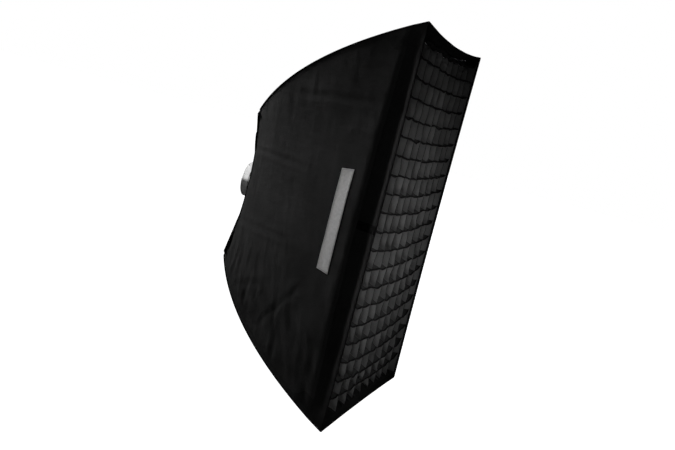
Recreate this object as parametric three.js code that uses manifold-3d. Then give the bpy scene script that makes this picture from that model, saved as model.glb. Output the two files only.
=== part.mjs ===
// Rectangular softbox, 0.9 x 1.2 m, on a rotating rod ring with a quick-release head collar.
//
// Frame, in millimetres: the origin is the centre of the collar's rear seat, where the lamp head
// stops. The light leaves along -Y, the long side of the face lies along Z, the short one along X.

import * as THREE from 'three';
import { mergeVertices } from 'three/addons/utils/BufferGeometryUtils.js';
import Module from 'manifold-3d';

const wasm = await Module();
wasm.setup();

// ---------------------------------------------------------------- driving dimensions

const GAP = 0.3; // between pieces that touch
const FACE_WIDTH = 900;
const FACE_LENGTH = 1200;
const FACE_DIAGONAL = Math.hypot(FACE_WIDTH, FACE_LENGTH);
const SHARE_X = FACE_WIDTH / FACE_DIAGONAL; // unit vector of a rod's plane
const SHARE_Z = FACE_LENGTH / FACE_DIAGONAL;
const FRONT_Y = -574;

// Ridge over each rod, as (distance from the axis, Y): the rear edge of the panels, the
// curve's control point and the front corner where the lip starts.
const RIDGE_REAR = new THREE.Vector2(300, -52);
const RIDGE_CONTROL = new THREE.Vector2(527, -165);
const RIDGE_FRONT = new THREE.Vector2(727, -528);

const CLOTH = 2.2; // thickness of lined, stitched fabric
const LIP_CREASE_RISE = 20; // how far the crease runs back at the middle of a long side
const LIP_CREASE_BOW = 26;
const LIP_EDGE_BOW = 18;
const SHORT_SIDE_SHARE = 0.6; // bow of a short side against a long side

// The label's place on the left panel, as shares of the panel's depth and half length.
const LABEL_START = 0.845;
const LABEL_SHARE = 0.07;
const LABEL_MIDDLE = -0.015;
const LABEL_REACH = 0.285;

const FLAP_HOLE_RADIUS = 66;
const FLAP_HOLE_Y = -34;
const FLAP_START = 0.004; // share of the flap's length left open at the panel

const COLLAR_BORE = 53;
const COLLAR_NECK = 56;
const COLLAR_SEAT = 57.5;
const COLLAR_FLANGE = 64;
const COLLAR_FRONT = -84;
const NECK_FRONT = -74;
const SEAT_THICKNESS = 5;
const RING_SEGMENTS = 40;

const WINDOW_COUNT = 6;
const WINDOW_WIDTH = 16;
const WINDOW_REAR = -9;
const WINDOW_FRONT = -27;
const LINER_BORE = 50.5;

const BAND_REAR = -10;
const BAND_FRONT = -24;
const BAND_OUTER = 59;
const LUG_NEAR = 8; // inner face of each lug from the clamp's mid-plane
const LUG_FAR = 14;
const LUG_TIP = 80;
const BOLT_X = 70;
const BOLT_RADIUS = 3;
const BOLT_Y = (BAND_REAR + BAND_FRONT) / 2;
const WASHER_TOP = 15.8;
const CAM_RADIUS = 7;
const CAM_OFFSET = 0.9;
const BARREL_RADIUS = 4;
const BARREL_Z = WASHER_TOP + GAP + CAM_RADIUS + CAM_OFFSET;

const PLATE_REAR = -61;
const PLATE_FRONT = -72.2;
const PLATE_RADIUS = 84;
const ARM_END = 132;
const ARM_WIDTH = 30;

const ROD_RADIUS = 4;
const ROD_DEPTH = 12; // rod centre below the ridge
const ROD_TIP_SINK = 6; // further depth at the tip, for the pocket around it
const FERRULE_RADIUS = 5.5;
const SOCKET_INNER = 70;
const SOCKET_OUTER = 134;
const ROD_ROOT = new THREE.Vector2(80, -50); // rear end of the rod, as (distance, Y)
const FERRULE_END = new THREE.Vector2(268, -70);

const BAFFLE_Y = -300;
const BAFFLE_REACH = 430; // centre to corner
const STRAP_END = 553;

const GRID_COLUMNS = 9;
const GRID_ROWS = 20;
const GRID_WALL = 3;
const GRID_DEPTH = 36;
const GRID_EDGE_X = 433; // border corners
const GRID_EDGE_Z = 578;
const GRID_HALF_X = 408; // walls
const GRID_HALF_Z = 562;

// ---------------------------------------------------------------- materials

const surface = (color, roughness, metalness = 0) =>
  new THREE.MeshStandardMaterial({ color, roughness, metalness });

const FABRIC = surface(0x1c1c1d, 0.92);
const WEBBING = surface(0x0e0e0f, 0.95);
const GRID_CLOTH = surface(0x2c2c2e, 0.9);
const DIFFUSION = surface(0xf1f1ee, 0.85);
const LABEL = surface(0xd9d9d6, 0.8);
const BRIGHT = surface(0xd8d9db, 0.25, 1);
const STEEL = surface(0x9fa2a6, 0.35, 1);
const CASTING = surface(0x2a2b2d, 0.55, 0.4);
const POLYMER = surface(0x17181a, 0.6);
const RUBBER = surface(0x151516, 0.95);
const FIBREGLASS = surface(0x20211f, 0.45);
const NYLON = surface(0xe4e2da, 0.5);

// ---------------------------------------------------------------- solids

function signedVolume(geometry) {
  const points = geometry.attributes.position;
  const index = geometry.index.array;
  const a = new THREE.Vector3();
  const b = new THREE.Vector3();
  const c = new THREE.Vector3();
  let volume = 0;
  for (let i = 0; i < index.length; i += 3) {
    a.fromBufferAttribute(points, index[i]);
    b.fromBufferAttribute(points, index[i + 1]);
    c.fromBufferAttribute(points, index[i + 2]);
    volume += a.dot(b.cross(c)) / 6;
  }
  return volume;
}

// One watertight mesh with its faces turned outwards.
function closed(geometry) {
  for (const name of ['normal', 'uv']) geometry.deleteAttribute(name);
  const merged = mergeVertices(geometry, 1e-3);
  if (signedVolume(merged) < 0) merged.index.array.reverse();
  return merged;
}

function toSolid(geometry) {
  const merged = closed(geometry);
  return new wasm.Manifold(
    new wasm.Mesh({
      numProp: 3,
      vertProperties: new Float32Array(merged.attributes.position.array),
      triVerts: new Uint32Array(merged.index.array),
    }),
  );
}

function fromSolid(solid) {
  const mesh = solid.getMesh();
  const geometry = new THREE.BufferGeometry();
  geometry.setAttribute('position', new THREE.BufferAttribute(mesh.vertProperties, 3));
  geometry.setIndex(new THREE.BufferAttribute(mesh.triVerts, 1));
  return geometry;
}

// A turned part about the Y axis from an outline of [radius, Y] points.
function turned(outline, segments = RING_SEGMENTS) {
  const loop = [...outline, outline[0]].map(([r, y]) => new THREE.Vector2(r, y));
  return new THREE.LatheGeometry(loop, segments);
}

const ring = (inner, outer, rear, front, segments = RING_SEGMENTS) =>
  turned([[inner, front], [outer, front], [outer, rear], [inner, rear]], segments);

function block(width, depth, height, x, y, z) {
  return new THREE.BoxGeometry(width, depth, height).translate(x, y, z);
}

// A round bar of given length centred at a point, along one axis.
function bar(radius, length, axis, x, y, z, segments = 20) {
  const geometry = new THREE.CylinderGeometry(radius, radius, length, segments);
  if (axis === 'z') geometry.rotateX(Math.PI / 2);
  if (axis === 'x') geometry.rotateZ(Math.PI / 2);
  return geometry.translate(x, y, z);
}

// A plate whose outline is drawn in X and Z, between two heights in Y.
function plateBetween(shape, front, rear, curveSegments = 12) {
  const geometry = new THREE.ExtrudeGeometry(shape, {
    depth: rear - front,
    bevelEnabled: false,
    curveSegments,
  });
  return geometry.rotateX(Math.PI / 2).translate(0, rear, 0);
}

// A thin curved wall: u and v run over it, and depth runs from its outer to its inner face.
function wallSheet(pointAt, segmentsU, segmentsV) {
  const geometry = new THREE.BoxGeometry(1, 1, 1, segmentsU, segmentsV, 1);
  const positions = geometry.attributes.position;
  for (let i = 0; i < positions.count; i += 1) {
    const u = positions.getX(i) + 0.5;
    const v = positions.getY(i) * 2;
    const depth = positions.getZ(i) + 0.5;
    const point = pointAt(u, v, depth);
    positions.setXYZ(i, point.x, point.y, point.z);
  }
  return closed(geometry);
}

const group = new THREE.Group();

function addPart(name, geometry, material) {
  const mesh = new THREE.Mesh(geometry.index ? geometry : closed(geometry), material);
  mesh.name = name;
  group.add(mesh);
  return mesh;
}

// ---------------------------------------------------------------- shell geometry

const RIDGE = new THREE.QuadraticBezierCurve(RIDGE_REAR, RIDGE_CONTROL, RIDGE_FRONT);

// The four walls. place() takes the distance from the axis, the position along the wall and Y.
const WALLS = [
  { name: 'left', across: SHARE_X, along: SHARE_Z, bow: 1, place: (a, l, y) => [-a, y, l] },
  { name: 'right', across: SHARE_X, along: SHARE_Z, bow: 1, place: (a, l, y) => [a, y, l] },
  { name: 'top', across: SHARE_Z, along: SHARE_X, bow: SHORT_SIDE_SHARE, place: (a, l, y) => [l, y, a] },
  { name: 'bottom', across: SHARE_Z, along: SHARE_X, bow: SHORT_SIDE_SHARE, place: (a, l, y) => [l, y, -a] },
];

// How far the stretched fabric is drawn in between two rods, at its middle.
const panelBow = (s) => 22 + 4 * s + 40 * s * (1 - s);

// Leaves a mitre gap at the ridges.
const mitred = (v, halfLength) => v * (1 - GAP / halfLength);

function panelPoint(wall, s, v, depth) {
  const ridge = RIDGE.getPoint(s);
  const slope = RIDGE.getTangent(s);
  const steepness = Math.atan2(-slope.y, slope.x * wall.across);
  const bow = wall.bow * panelBow(s) * (1 - v * v);
  const rise = wall.bow * LIP_CREASE_RISE * s ** 6 * (1 - v * v);
  const halfLength = ridge.x * wall.along - depth;
  const across = ridge.x * wall.across - depth - bow * Math.sin(steepness);
  const y = ridge.y - depth / 2 - bow * Math.cos(steepness) * (1 - s) + rise;
  return new THREE.Vector3(...wall.place(across, mitred(v, halfLength) * halfLength, y));
}

function lipPoint(wall, q, v, depth) {
  const front = FACE_DIAGONAL / 2;
  const reach = THREE.MathUtils.lerp(RIDGE_FRONT.x, front, q);
  const bow = wall.bow * THREE.MathUtils.lerp(LIP_CREASE_BOW, LIP_EDGE_BOW, q) * (1 - v * v);
  const rise = wall.bow * LIP_CREASE_RISE * (1 - q) * (1 - v * v);
  const halfLength = reach * wall.along - depth;
  const across = reach * wall.across - depth - bow;
  const y = THREE.MathUtils.lerp(RIDGE_FRONT.y, FRONT_Y, q) + rise - (depth / 2) * (1 - q);
  return new THREE.Vector3(...wall.place(across, mitred(v, halfLength) * halfLength, y));
}

// A rear flap runs from the panels' rear edge to the round hole for the collar.
function flapPoint(wall, q, v, depth) {
  const angle = mitred(v, FLAP_HOLE_RADIUS) * Math.atan2(wall.along, wall.across);
  const across = FLAP_HOLE_RADIUS * Math.cos(angle);
  const along = FLAP_HOLE_RADIUS * Math.sin(angle);
  const edge = new THREE.Vector3(...wall.place(across, along, FLAP_HOLE_Y - depth));
  return panelPoint(wall, 0, v, depth).lerp(edge, FLAP_START + (1 - FLAP_START) * q);
}

function addShell() {
  for (const wall of WALLS) {
    const panel = wallSheet((u, v, w) => panelPoint(wall, 0.999 * u, v, CLOTH * w), 12, 10);
    addPart(`${wall.name}_panel`, panel, FABRIC);
    const lip = wallSheet((u, v, w) => lipPoint(wall, 0.01 + 0.99 * u, v, CLOTH * w), 2, 12);
    addPart(`${wall.name}_lip`, lip, FABRIC);
    const flap = wallSheet((u, v, w) => flapPoint(wall, u, v, CLOTH * w), 3, 10);
    addPart(`${wall.name}_rear_flap`, flap, FABRIC);
  }
  const cuff = ring(FLAP_HOLE_RADIUS - 4.5, FLAP_HOLE_RADIUS - 1, FLAP_HOLE_Y + 3, FLAP_HOLE_Y - 8);
  addPart('collar_cuff', cuff, WEBBING);
}

// Sewn-on trim: a blank label on the left panel and a pull tab across each long lip.
function addTrim() {
  const [left, right] = WALLS;
  const labelPoint = (u, v, w) =>
    panelPoint(left, LABEL_START + LABEL_SHARE * u, LABEL_MIDDLE + LABEL_REACH * v, -GAP - 1 + w);
  addPart('label_patch', wallSheet(labelPoint, 3, 5), LABEL);
  for (const wall of [left, right]) {
    const tabPoint = (u, v, w) => lipPoint(wall, 0.04 + 0.94 * u, 0.021 * v, -GAP - 1.2 + 1.2 * w);
    addPart(`${wall.name}_lip_tab`, wallSheet(tabPoint, 2, 2), WEBBING);
  }
}

// ---------------------------------------------------------------- front cloths and grid

// The outline of a sheet held in the lip: straight corners with edges drawn in at the middle.
function bowedOutline(halfX, halfZ, bowX, bowZ) {
  const shape = new THREE.Shape();
  shape.moveTo(-halfX, -halfZ);
  shape.quadraticCurveTo(0, -halfZ + 2 * bowZ, halfX, -halfZ);
  shape.quadraticCurveTo(halfX - 2 * bowX, 0, halfX, halfZ);
  shape.quadraticCurveTo(0, halfZ - 2 * bowZ, -halfX, halfZ);
  shape.quadraticCurveTo(-halfX + 2 * bowX, 0, -halfX, -halfZ);
  return shape;
}

// Fabric slats crossing at right angles inside a bowed border.
function addGrid() {
  const bow = LIP_CREASE_BOW - 4;
  const outline = bowedOutline(GRID_EDGE_X, GRID_EDGE_Z, bow, bow * SHORT_SIDE_SHARE);
  const front = FRONT_Y + 3;
  const middle = front + GRID_DEPTH / 2;
  const inside = toSolid(block(2 * GRID_HALF_X, 2 * GRID_DEPTH, 2 * GRID_HALF_Z, 0, middle, 0));
  let grid = toSolid(plateBetween(outline, front, front + GRID_DEPTH)).subtract(inside);
  const pitchX = (2 * GRID_HALF_X) / GRID_COLUMNS;
  const pitchZ = (2 * GRID_HALF_Z) / GRID_ROWS;
  for (let column = 1; column < GRID_COLUMNS; column += 1) {
    const x = column * pitchX - GRID_HALF_X;
    grid = grid.add(toSolid(block(GRID_WALL, GRID_DEPTH, 2 * GRID_HALF_Z, x, middle, 0)));
  }
  for (let row = 1; row < GRID_ROWS; row += 1) {
    const z = row * pitchZ - GRID_HALF_Z;
    grid = grid.add(toSolid(block(2 * GRID_HALF_X, GRID_DEPTH, GRID_WALL, 0, middle, z)));
  }
  addPart('egg_crate_grid', fromSolid(grid), GRID_CLOTH);
}

function addDiffusers() {
  const front = bowedOutline(420, 566, LIP_CREASE_BOW, LIP_CREASE_BOW * SHORT_SIDE_SHARE);
  addPart('front_diffuser', plateBetween(front, FRONT_Y + 42, FRONT_Y + 44), DIFFUSION);
  const halfX = BAFFLE_REACH * SHARE_X;
  const halfZ = BAFFLE_REACH * SHARE_Z;
  const inner = bowedOutline(halfX, halfZ, 12, 9);
  addPart('inner_baffle', plateBetween(inner, BAFFLE_Y - 1, BAFFLE_Y + 1), DIFFUSION);
  const length = STRAP_END - BAFFLE_REACH - GAP;
  forEachCorner((corner, index) => {
    const strap = block(length, 1.6, 12, BAFFLE_REACH + GAP + length / 2, BAFFLE_Y, 0);
    addPart(`baffle_strap_${index + 1}`, strap.rotateY(corner.turn), WEBBING);
  });
}

// ---------------------------------------------------------------- rods

// Corners in order: left top, right top, right bottom, left bottom. turn is the rotation
// about Y that takes the +X direction to the corner.
function forEachCorner(build) {
  const corners = [[-1, 1], [1, 1], [1, -1], [-1, -1]];
  corners.forEach(([signX, signZ], index) => {
    const turn = Math.atan2(-signZ * SHARE_Z, signX * SHARE_X);
    build({ turn }, index);
  });
}

// Centre line of a rod in the plane of +X and Y: straight in its ferrule, then bent under the
// ridge.
function rodPoints() {
  const along = new THREE.Vector2().subVectors(FERRULE_END, ROD_ROOT).normalize();
  const points = [-30, 0].map((step) => FERRULE_END.clone().addScaledVector(along, step));
  for (const s of [0.25, 0.4, 0.55, 0.7, 0.85, 0.96]) {
    const slope = RIDGE.getTangent(s);
    const under = new THREE.Vector2(slope.y, -slope.x).multiplyScalar(ROD_DEPTH + ROD_TIP_SINK * s * s);
    points.push(RIDGE.getPoint(s).add(under));
  }
  return points.map((point) => new THREE.Vector3(point.x, point.y, 0));
}

const ROD_PATH = new THREE.CatmullRomCurve3(rodPoints(), false, 'centripetal');

function roundSection(radius, sides) {
  const shape = new THREE.Shape();
  shape.absarc(0, 0, radius, 0, 2 * Math.PI, false);
  return new THREE.Shape(shape.getSpacedPoints(sides).slice(0, sides));
}

// Puts a part turned about Y at a point of the rod's plane, pointing along a direction in it.
function aimed(geometry, at, direction) {
  const angle = Math.atan2(direction.y, direction.x) - Math.PI / 2;
  return geometry.rotateZ(angle).translate(at.x, at.y, 0);
}

function ferrule() {
  const along = new THREE.Vector2().subVectors(FERRULE_END, ROD_ROOT);
  const length = along.length();
  const bore = ROD_RADIUS + GAP;
  const outline = [
    [0, 0], [FERRULE_RADIUS, 0], [FERRULE_RADIUS, length - 1], [FERRULE_RADIUS - 0.6, length],
    [bore, length], [bore, length - 34], [0, length - 34],
  ];
  return aimed(turned(outline, 12), ROD_ROOT, along);
}

function rodTip() {
  const end = ROD_PATH.getPoint(1);
  const slope = ROD_PATH.getTangent(1);
  const outline = [[0, GAP], [4.6, GAP], [5.2, 1.5], [5.2, 8], [4, 11], [0, 12.5]];
  return aimed(turned(outline, 12), end, slope);
}

function cornerPocket() {
  const end = ROD_PATH.getPoint(1);
  const slope = ROD_PATH.getTangent(1);
  const outline = [[5.8, -14], [7.2, -14], [7.2, 14], [4, 15.5], [0, 15.5], [0, 13], [4.4, 13], [5.8, 9.5]];
  return aimed(turned(outline, 12), end, slope);
}

// A saddle on the plate's arm with a blind bore that holds the ferrule.
function rodSocket() {
  const along = new THREE.Vector2().subVectors(FERRULE_END, ROD_ROOT).normalize();
  const tilt = Math.atan2(along.y, along.x);
  const length = SOCKET_OUTER - SOCKET_INNER;
  const middle = (SOCKET_OUTER + SOCKET_INNER) / 2;
  const barrel = toSolid(bar(9, length, 'x', 0, 0, 0, 16));
  const foot = toSolid(block(length, 16, 18, 0, -8, 0));
  const bore = toSolid(bar(FERRULE_RADIUS + GAP, length, 'x', ROD_ROOT.x - GAP - SOCKET_INNER, 0, 0, 16));
  const body = barrel.add(foot).subtract(bore);
  const degrees = THREE.MathUtils.radToDeg(tilt);
  const height = ROD_ROOT.y + (middle - ROD_ROOT.x) * Math.tan(tilt);
  const placed = body.rotate([0, 0, degrees]).translate([middle, height, 0]);
  const below = toSolid(block(2 * length, 40, 60, middle, PLATE_REAR + GAP - 20, 0));
  return fromSolid(placed.subtract(below));
}

function addRods() {
  const section = roundSection(ROD_RADIUS, 8);
  forEachCorner((corner, index) => {
    const number = index + 1;
    const rod = new THREE.ExtrudeGeometry(section, { steps: 22, extrudePath: ROD_PATH, bevelEnabled: false });
    addPart(`rod_${number}`, rod.rotateY(corner.turn), FIBREGLASS);
    addPart(`rod_ferrule_${number}`, ferrule().rotateY(corner.turn), STEEL);
    addPart(`rod_tip_${number}`, rodTip().rotateY(corner.turn), POLYMER);
    addPart(`corner_pocket_${number}`, cornerPocket().rotateY(corner.turn), WEBBING);
    addPart(`rod_socket_${number}`, rodSocket().rotateY(corner.turn), POLYMER);
  });
}

// ---------------------------------------------------------------- rotating ring

const KNOB_HOLE = 3.3;

function addRing() {
  const thickness = PLATE_REAR - PLATE_FRONT;
  const middleY = (PLATE_REAR + PLATE_FRONT) / 2;
  let plate = toSolid(bar(PLATE_RADIUS, thickness, 'y', 0, middleY, 0, RING_SEGMENTS));
  forEachCorner((corner) => {
    const arm = block(ARM_END, thickness, ARM_WIDTH, ARM_END / 2, middleY, 0);
    plate = plate.add(toSolid(arm.rotateY(corner.turn)));
  });
  const bore = toSolid(bar(COLLAR_NECK + 0.4, 2 * thickness, 'y', 0, middleY, 0, RING_SEGMENTS));
  const knobHole = toSolid(bar(KNOB_HOLE, PLATE_RADIUS, 'z', 0, middleY, PLATE_RADIUS, 12));
  addPart('rod_ring', fromSolid(plate.subtract(bore).subtract(knobHole)), CASTING);
  addLockKnob(middleY);
}

// A thumb screw through the ring's rim that brakes it on the collar.
function addLockKnob(middleY) {
  const stemLow = COLLAR_NECK + 3;
  const headLow = PLATE_RADIUS + 1.5;
  const headHigh = headLow + 14;
  const outline = [
    [0, stemLow], [KNOB_HOLE - GAP, stemLow], [KNOB_HOLE - GAP, headLow], [9, headLow],
    [10.5, headLow + 3], [10.5, headHigh - 2], [9, headHigh], [0, headHigh],
  ];
  const knob = turned(outline, 16).rotateX(Math.PI / 2).translate(0, middleY, 0);
  addPart('lock_knob', knob, POLYMER);
  const shoe = bar(2.8, 2, 'z', 0, middleY, COLLAR_NECK + 1.7, 12);
  addPart('brake_shoe', shoe, NYLON);
}

// ---------------------------------------------------------------- head collar

function windowBlock(index, width, rear, front) {
  const depth = rear - front;
  const piece = block(14, depth, width, COLLAR_NECK, (rear + front) / 2, 0);
  return toSolid(piece.rotateY(THREE.MathUtils.degToRad(30 + (360 / WINDOW_COUNT) * index)));
}

function addCollar() {
  const outline = [
    [COLLAR_BORE, COLLAR_FRONT], [COLLAR_FLANGE, COLLAR_FRONT], [COLLAR_FLANGE, NECK_FRONT],
    [COLLAR_NECK, NECK_FRONT], [COLLAR_NECK, -SEAT_THICKNESS], [COLLAR_SEAT, -SEAT_THICKNESS],
    [COLLAR_SEAT, 0], [COLLAR_BORE, 0],
  ];
  let collar = toSolid(turned(outline));
  const linerOutline = ring(LINER_BORE, COLLAR_BORE - GAP, -4, -44);
  let liner = toSolid(linerOutline);
  const padZone = toSolid(ring(LINER_BORE + 1, COLLAR_NECK, WINDOW_REAR, WINDOW_FRONT));
  for (let index = 0; index < WINDOW_COUNT; index += 1) {
    collar = collar.subtract(windowBlock(index, WINDOW_WIDTH, WINDOW_REAR, WINDOW_FRONT));
    const pad = windowBlock(index, WINDOW_WIDTH - 2 * GAP, WINDOW_REAR - GAP, WINDOW_FRONT + GAP);
    liner = liner.add(pad.intersect(padZone));
  }
  addPart('head_collar', fromSolid(collar), BRIGHT);
  addPart('grip_liner', fromSolid(liner), RUBBER);
  addPart('thrust_ring', ring(COLLAR_NECK + GAP, COLLAR_FLANGE, NECK_FRONT + 1.5, NECK_FRONT + GAP), NYLON);
  const clipRear = PLATE_REAR + 2.3;
  addPart('retaining_ring', ring(COLLAR_NECK + GAP, 62, clipRear, PLATE_REAR + GAP), STEEL);
}

function addClamp() {
  const width = BAND_REAR - BAND_FRONT;
  const band = toSolid(ring(COLLAR_NECK + GAP, BAND_OUTER, BAND_REAR, BAND_FRONT));
  const opening = toSolid(block(30, 2 * width, 2 * LUG_NEAR, COLLAR_NECK + 2, BOLT_Y, 0));
  const thickness = LUG_FAR - LUG_NEAR;
  const lugLow = COLLAR_NECK + 1;
  let solid = band.subtract(opening);
  for (const side of [-1, 1]) {
    const z = (side * (LUG_NEAR + LUG_FAR)) / 2;
    solid = solid.add(toSolid(block(LUG_TIP - lugLow, width, thickness, (LUG_TIP + lugLow) / 2, BOLT_Y, z)));
  }
  const hole = toSolid(bar(BOLT_RADIUS + 0.4, 60, 'z', BOLT_X, BOLT_Y, 0, 16));
  addPart('clamp_band', fromSolid(solid.subtract(hole)), BRIGHT);

  const washerHeight = WASHER_TOP - LUG_FAR - GAP;
  const washerMiddle = WASHER_TOP - washerHeight / 2;
  const washer = toSolid(bar(7, washerHeight, 'z', BOLT_X, BOLT_Y, washerMiddle, 20)).subtract(hole);
  addPart('cam_washer', fromSolid(washer), NYLON);
}

function addDrawBolt() {
  const low = -28;
  const high = BARREL_Z + 2;
  const bolt = bar(BOLT_RADIUS, high - low, 'z', BOLT_X, BOLT_Y, (high + low) / 2, 16);
  addPart('draw_bolt', bolt, STEEL);
  const barrel = toSolid(bar(BARREL_RADIUS, 13, 'y', BOLT_X, BOLT_Y, BARREL_Z, 20));
  const cross = toSolid(bar(BOLT_RADIUS + GAP, 20, 'z', BOLT_X, BOLT_Y, BARREL_Z, 16));
  addPart('lever_pivot_barrel', fromSolid(barrel.subtract(cross)), STEEL);
  const nutTop = -LUG_FAR - GAP;
  const nut = toSolid(bar(8, 8, 'z', BOLT_X, BOLT_Y, nutTop - 4, 18));
  const thread = toSolid(bar(BOLT_RADIUS + GAP, 30, 'z', BOLT_X, BOLT_Y, nutTop - 4, 16));
  addPart('adjuster_nut', fromSolid(nut.subtract(thread)), STEEL);
}

// The closed lever hugs the band: an eccentric cam on the barrel and an arched handle.
function addLever() {
  const width = BAND_REAR - BAND_FRONT - 2;
  const reach = Math.hypot(BOLT_X, BARREL_Z);
  const rootAngle = Math.atan2(BARREL_Z, BOLT_X);
  const tipAngle = rootAngle + THREE.MathUtils.degToRad(52);
  const handle = new THREE.Shape();
  handle.absarc(0, 0, reach + 2.5, rootAngle, tipAngle, false);
  handle.absarc(0, 0, reach - 3.5, tipAngle, rootAngle, true);
  const arch = toSolid(plateFromXZ(handle, width));
  const cam = toSolid(bar(CAM_RADIUS, width, 'y', BOLT_X, BOLT_Y, BARREL_Z - CAM_OFFSET, 28));
  const pivot = toSolid(bar(BARREL_RADIUS + 0.3, 2 * width, 'y', BOLT_X, BOLT_Y, BARREL_Z, 20));
  const throat = toSolid(bar(11, 2 * (BOLT_RADIUS + 0.6), 'y', BOLT_X, BOLT_Y, BARREL_Z, 24));
  addPart('clamp_lever', fromSolid(arch.add(cam).subtract(pivot).subtract(throat)), CASTING);
}

// A shape drawn in X and Z, extruded about the clamp's middle in Y.
function plateFromXZ(shape, width) {
  const geometry = new THREE.ExtrudeGeometry(shape, { depth: width, bevelEnabled: false, curveSegments: 12 });
  return geometry.rotateX(Math.PI / 2).translate(0, BOLT_Y + width / 2, 0);
}

addCollar();
addClamp();
addDrawBolt();
addLever();
addRing();
addRods();
addShell();
addTrim();
addDiffusers();
addGrid();

export default group;
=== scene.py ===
import math
from functools import partial

import bmesh
import bpy
import numpy as np
from mathutils import Matrix, Vector


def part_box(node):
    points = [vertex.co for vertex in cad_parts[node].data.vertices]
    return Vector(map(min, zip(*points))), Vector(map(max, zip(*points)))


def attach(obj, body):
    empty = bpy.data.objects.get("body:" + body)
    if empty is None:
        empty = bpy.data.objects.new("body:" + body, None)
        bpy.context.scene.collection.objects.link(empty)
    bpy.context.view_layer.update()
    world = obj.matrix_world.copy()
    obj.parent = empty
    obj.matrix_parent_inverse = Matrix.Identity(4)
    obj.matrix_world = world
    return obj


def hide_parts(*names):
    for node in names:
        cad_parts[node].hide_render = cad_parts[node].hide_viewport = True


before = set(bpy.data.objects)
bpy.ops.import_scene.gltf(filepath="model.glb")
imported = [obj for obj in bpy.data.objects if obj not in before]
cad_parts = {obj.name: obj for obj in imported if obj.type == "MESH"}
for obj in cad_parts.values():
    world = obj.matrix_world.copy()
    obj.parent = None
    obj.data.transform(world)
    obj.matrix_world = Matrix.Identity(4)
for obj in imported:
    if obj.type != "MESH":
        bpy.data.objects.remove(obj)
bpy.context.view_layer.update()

MM = 0.001


def put(name, data):
    """Puts new data into the scene as an object."""
    item = bpy.data.objects.new(name, data)
    bpy.context.scene.collection.objects.link(item)
    return item


# ---------------------------------------------------------------- camera and lamps

CAMERA_AT = (-3.3568, -1.2679, 0.3330)
CAMERA_AIM = (-0.0044, -0.3442, -0.0644)
CAMERA_ROLL = 14.609
CAMERA_LENS = 57.018
WORLD_ON_CLOTH = 0.015  # how brightly the white world lights soft surfaces
WORLD_IN_GLOSS = 0.9  # and how bright it looks in shiny ones
LAMPS = {  # place, what it faces, width, watts, spread in degrees
    "rear_key": ((1.0, 4.6, 2.6), (-0.3, 0.10, 1.15), 1.6, 62, 36),
    "rim_light": ((-3.0, 3.4, 1.6), (-0.4, -0.4, 0.0), 1.2, 15, 180),
    "face_light": ((-0.95, -2.7, 0.25), (-0.1, -0.55, -0.10), 0.6, 2.6, 32),
}


def facing(start, target, roll=0.0):
    """A matrix that stands at start and looks at target."""
    turn = (Vector(target) - Vector(start)).to_track_quat("-Z", "Y").to_matrix().to_4x4()
    return Matrix.Translation(start) @ turn @ Matrix.Rotation(math.radians(roll), 4, "Z")


def add_camera():
    data = bpy.data.cameras.new("camera")
    data.lens = CAMERA_LENS
    data.sensor_width = 36.0
    data.clip_end = 200.0
    camera = put("camera", data)
    camera.matrix_world = facing(CAMERA_AT, CAMERA_AIM, CAMERA_ROLL)
    bpy.context.scene.camera = camera


def add_lamps():
    for name, (place, target, width, watts, spread) in LAMPS.items():
        data = bpy.data.lights.new(name, "AREA")
        data.shape = "DISK"
        data.size = width
        data.energy = watts
        data.spread = math.radians(spread)
        put(name, data).matrix_world = facing(place, target)


def add_world():
    """A white studio that shows in full to the camera, less in shiny parts and hardly on cloth."""
    bpy.context.scene.view_settings.view_transform = "Standard"
    world = bpy.data.worlds.new("studio")
    bpy.context.scene.world = world
    world.use_nodes = True
    nodes, links = world.node_tree.nodes, world.node_tree.links
    background = nodes["Background"]
    background.inputs["Color"].default_value = (1, 1, 1, 1)
    path = nodes.new("ShaderNodeLightPath")
    seen = nodes.new("ShaderNodeMath")
    seen.operation = "MULTIPLY_ADD"
    seen.inputs[1].default_value = WORLD_IN_GLOSS
    strength = nodes.new("ShaderNodeMapRange")
    strength.inputs["To Min"].default_value = WORLD_ON_CLOTH
    links.new(path.outputs["Is Glossy Ray"], seen.inputs[0])
    links.new(path.outputs["Is Camera Ray"], seen.inputs[2])
    links.new(seen.outputs[0], strength.inputs["Value"])
    links.new(strength.outputs["Result"], background.inputs["Strength"])


# ---------------------------------------------------------------- materials


def grey(level, warm=0.0):
    return (level * (1 + warm), level, level * (1 - warm))


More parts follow.
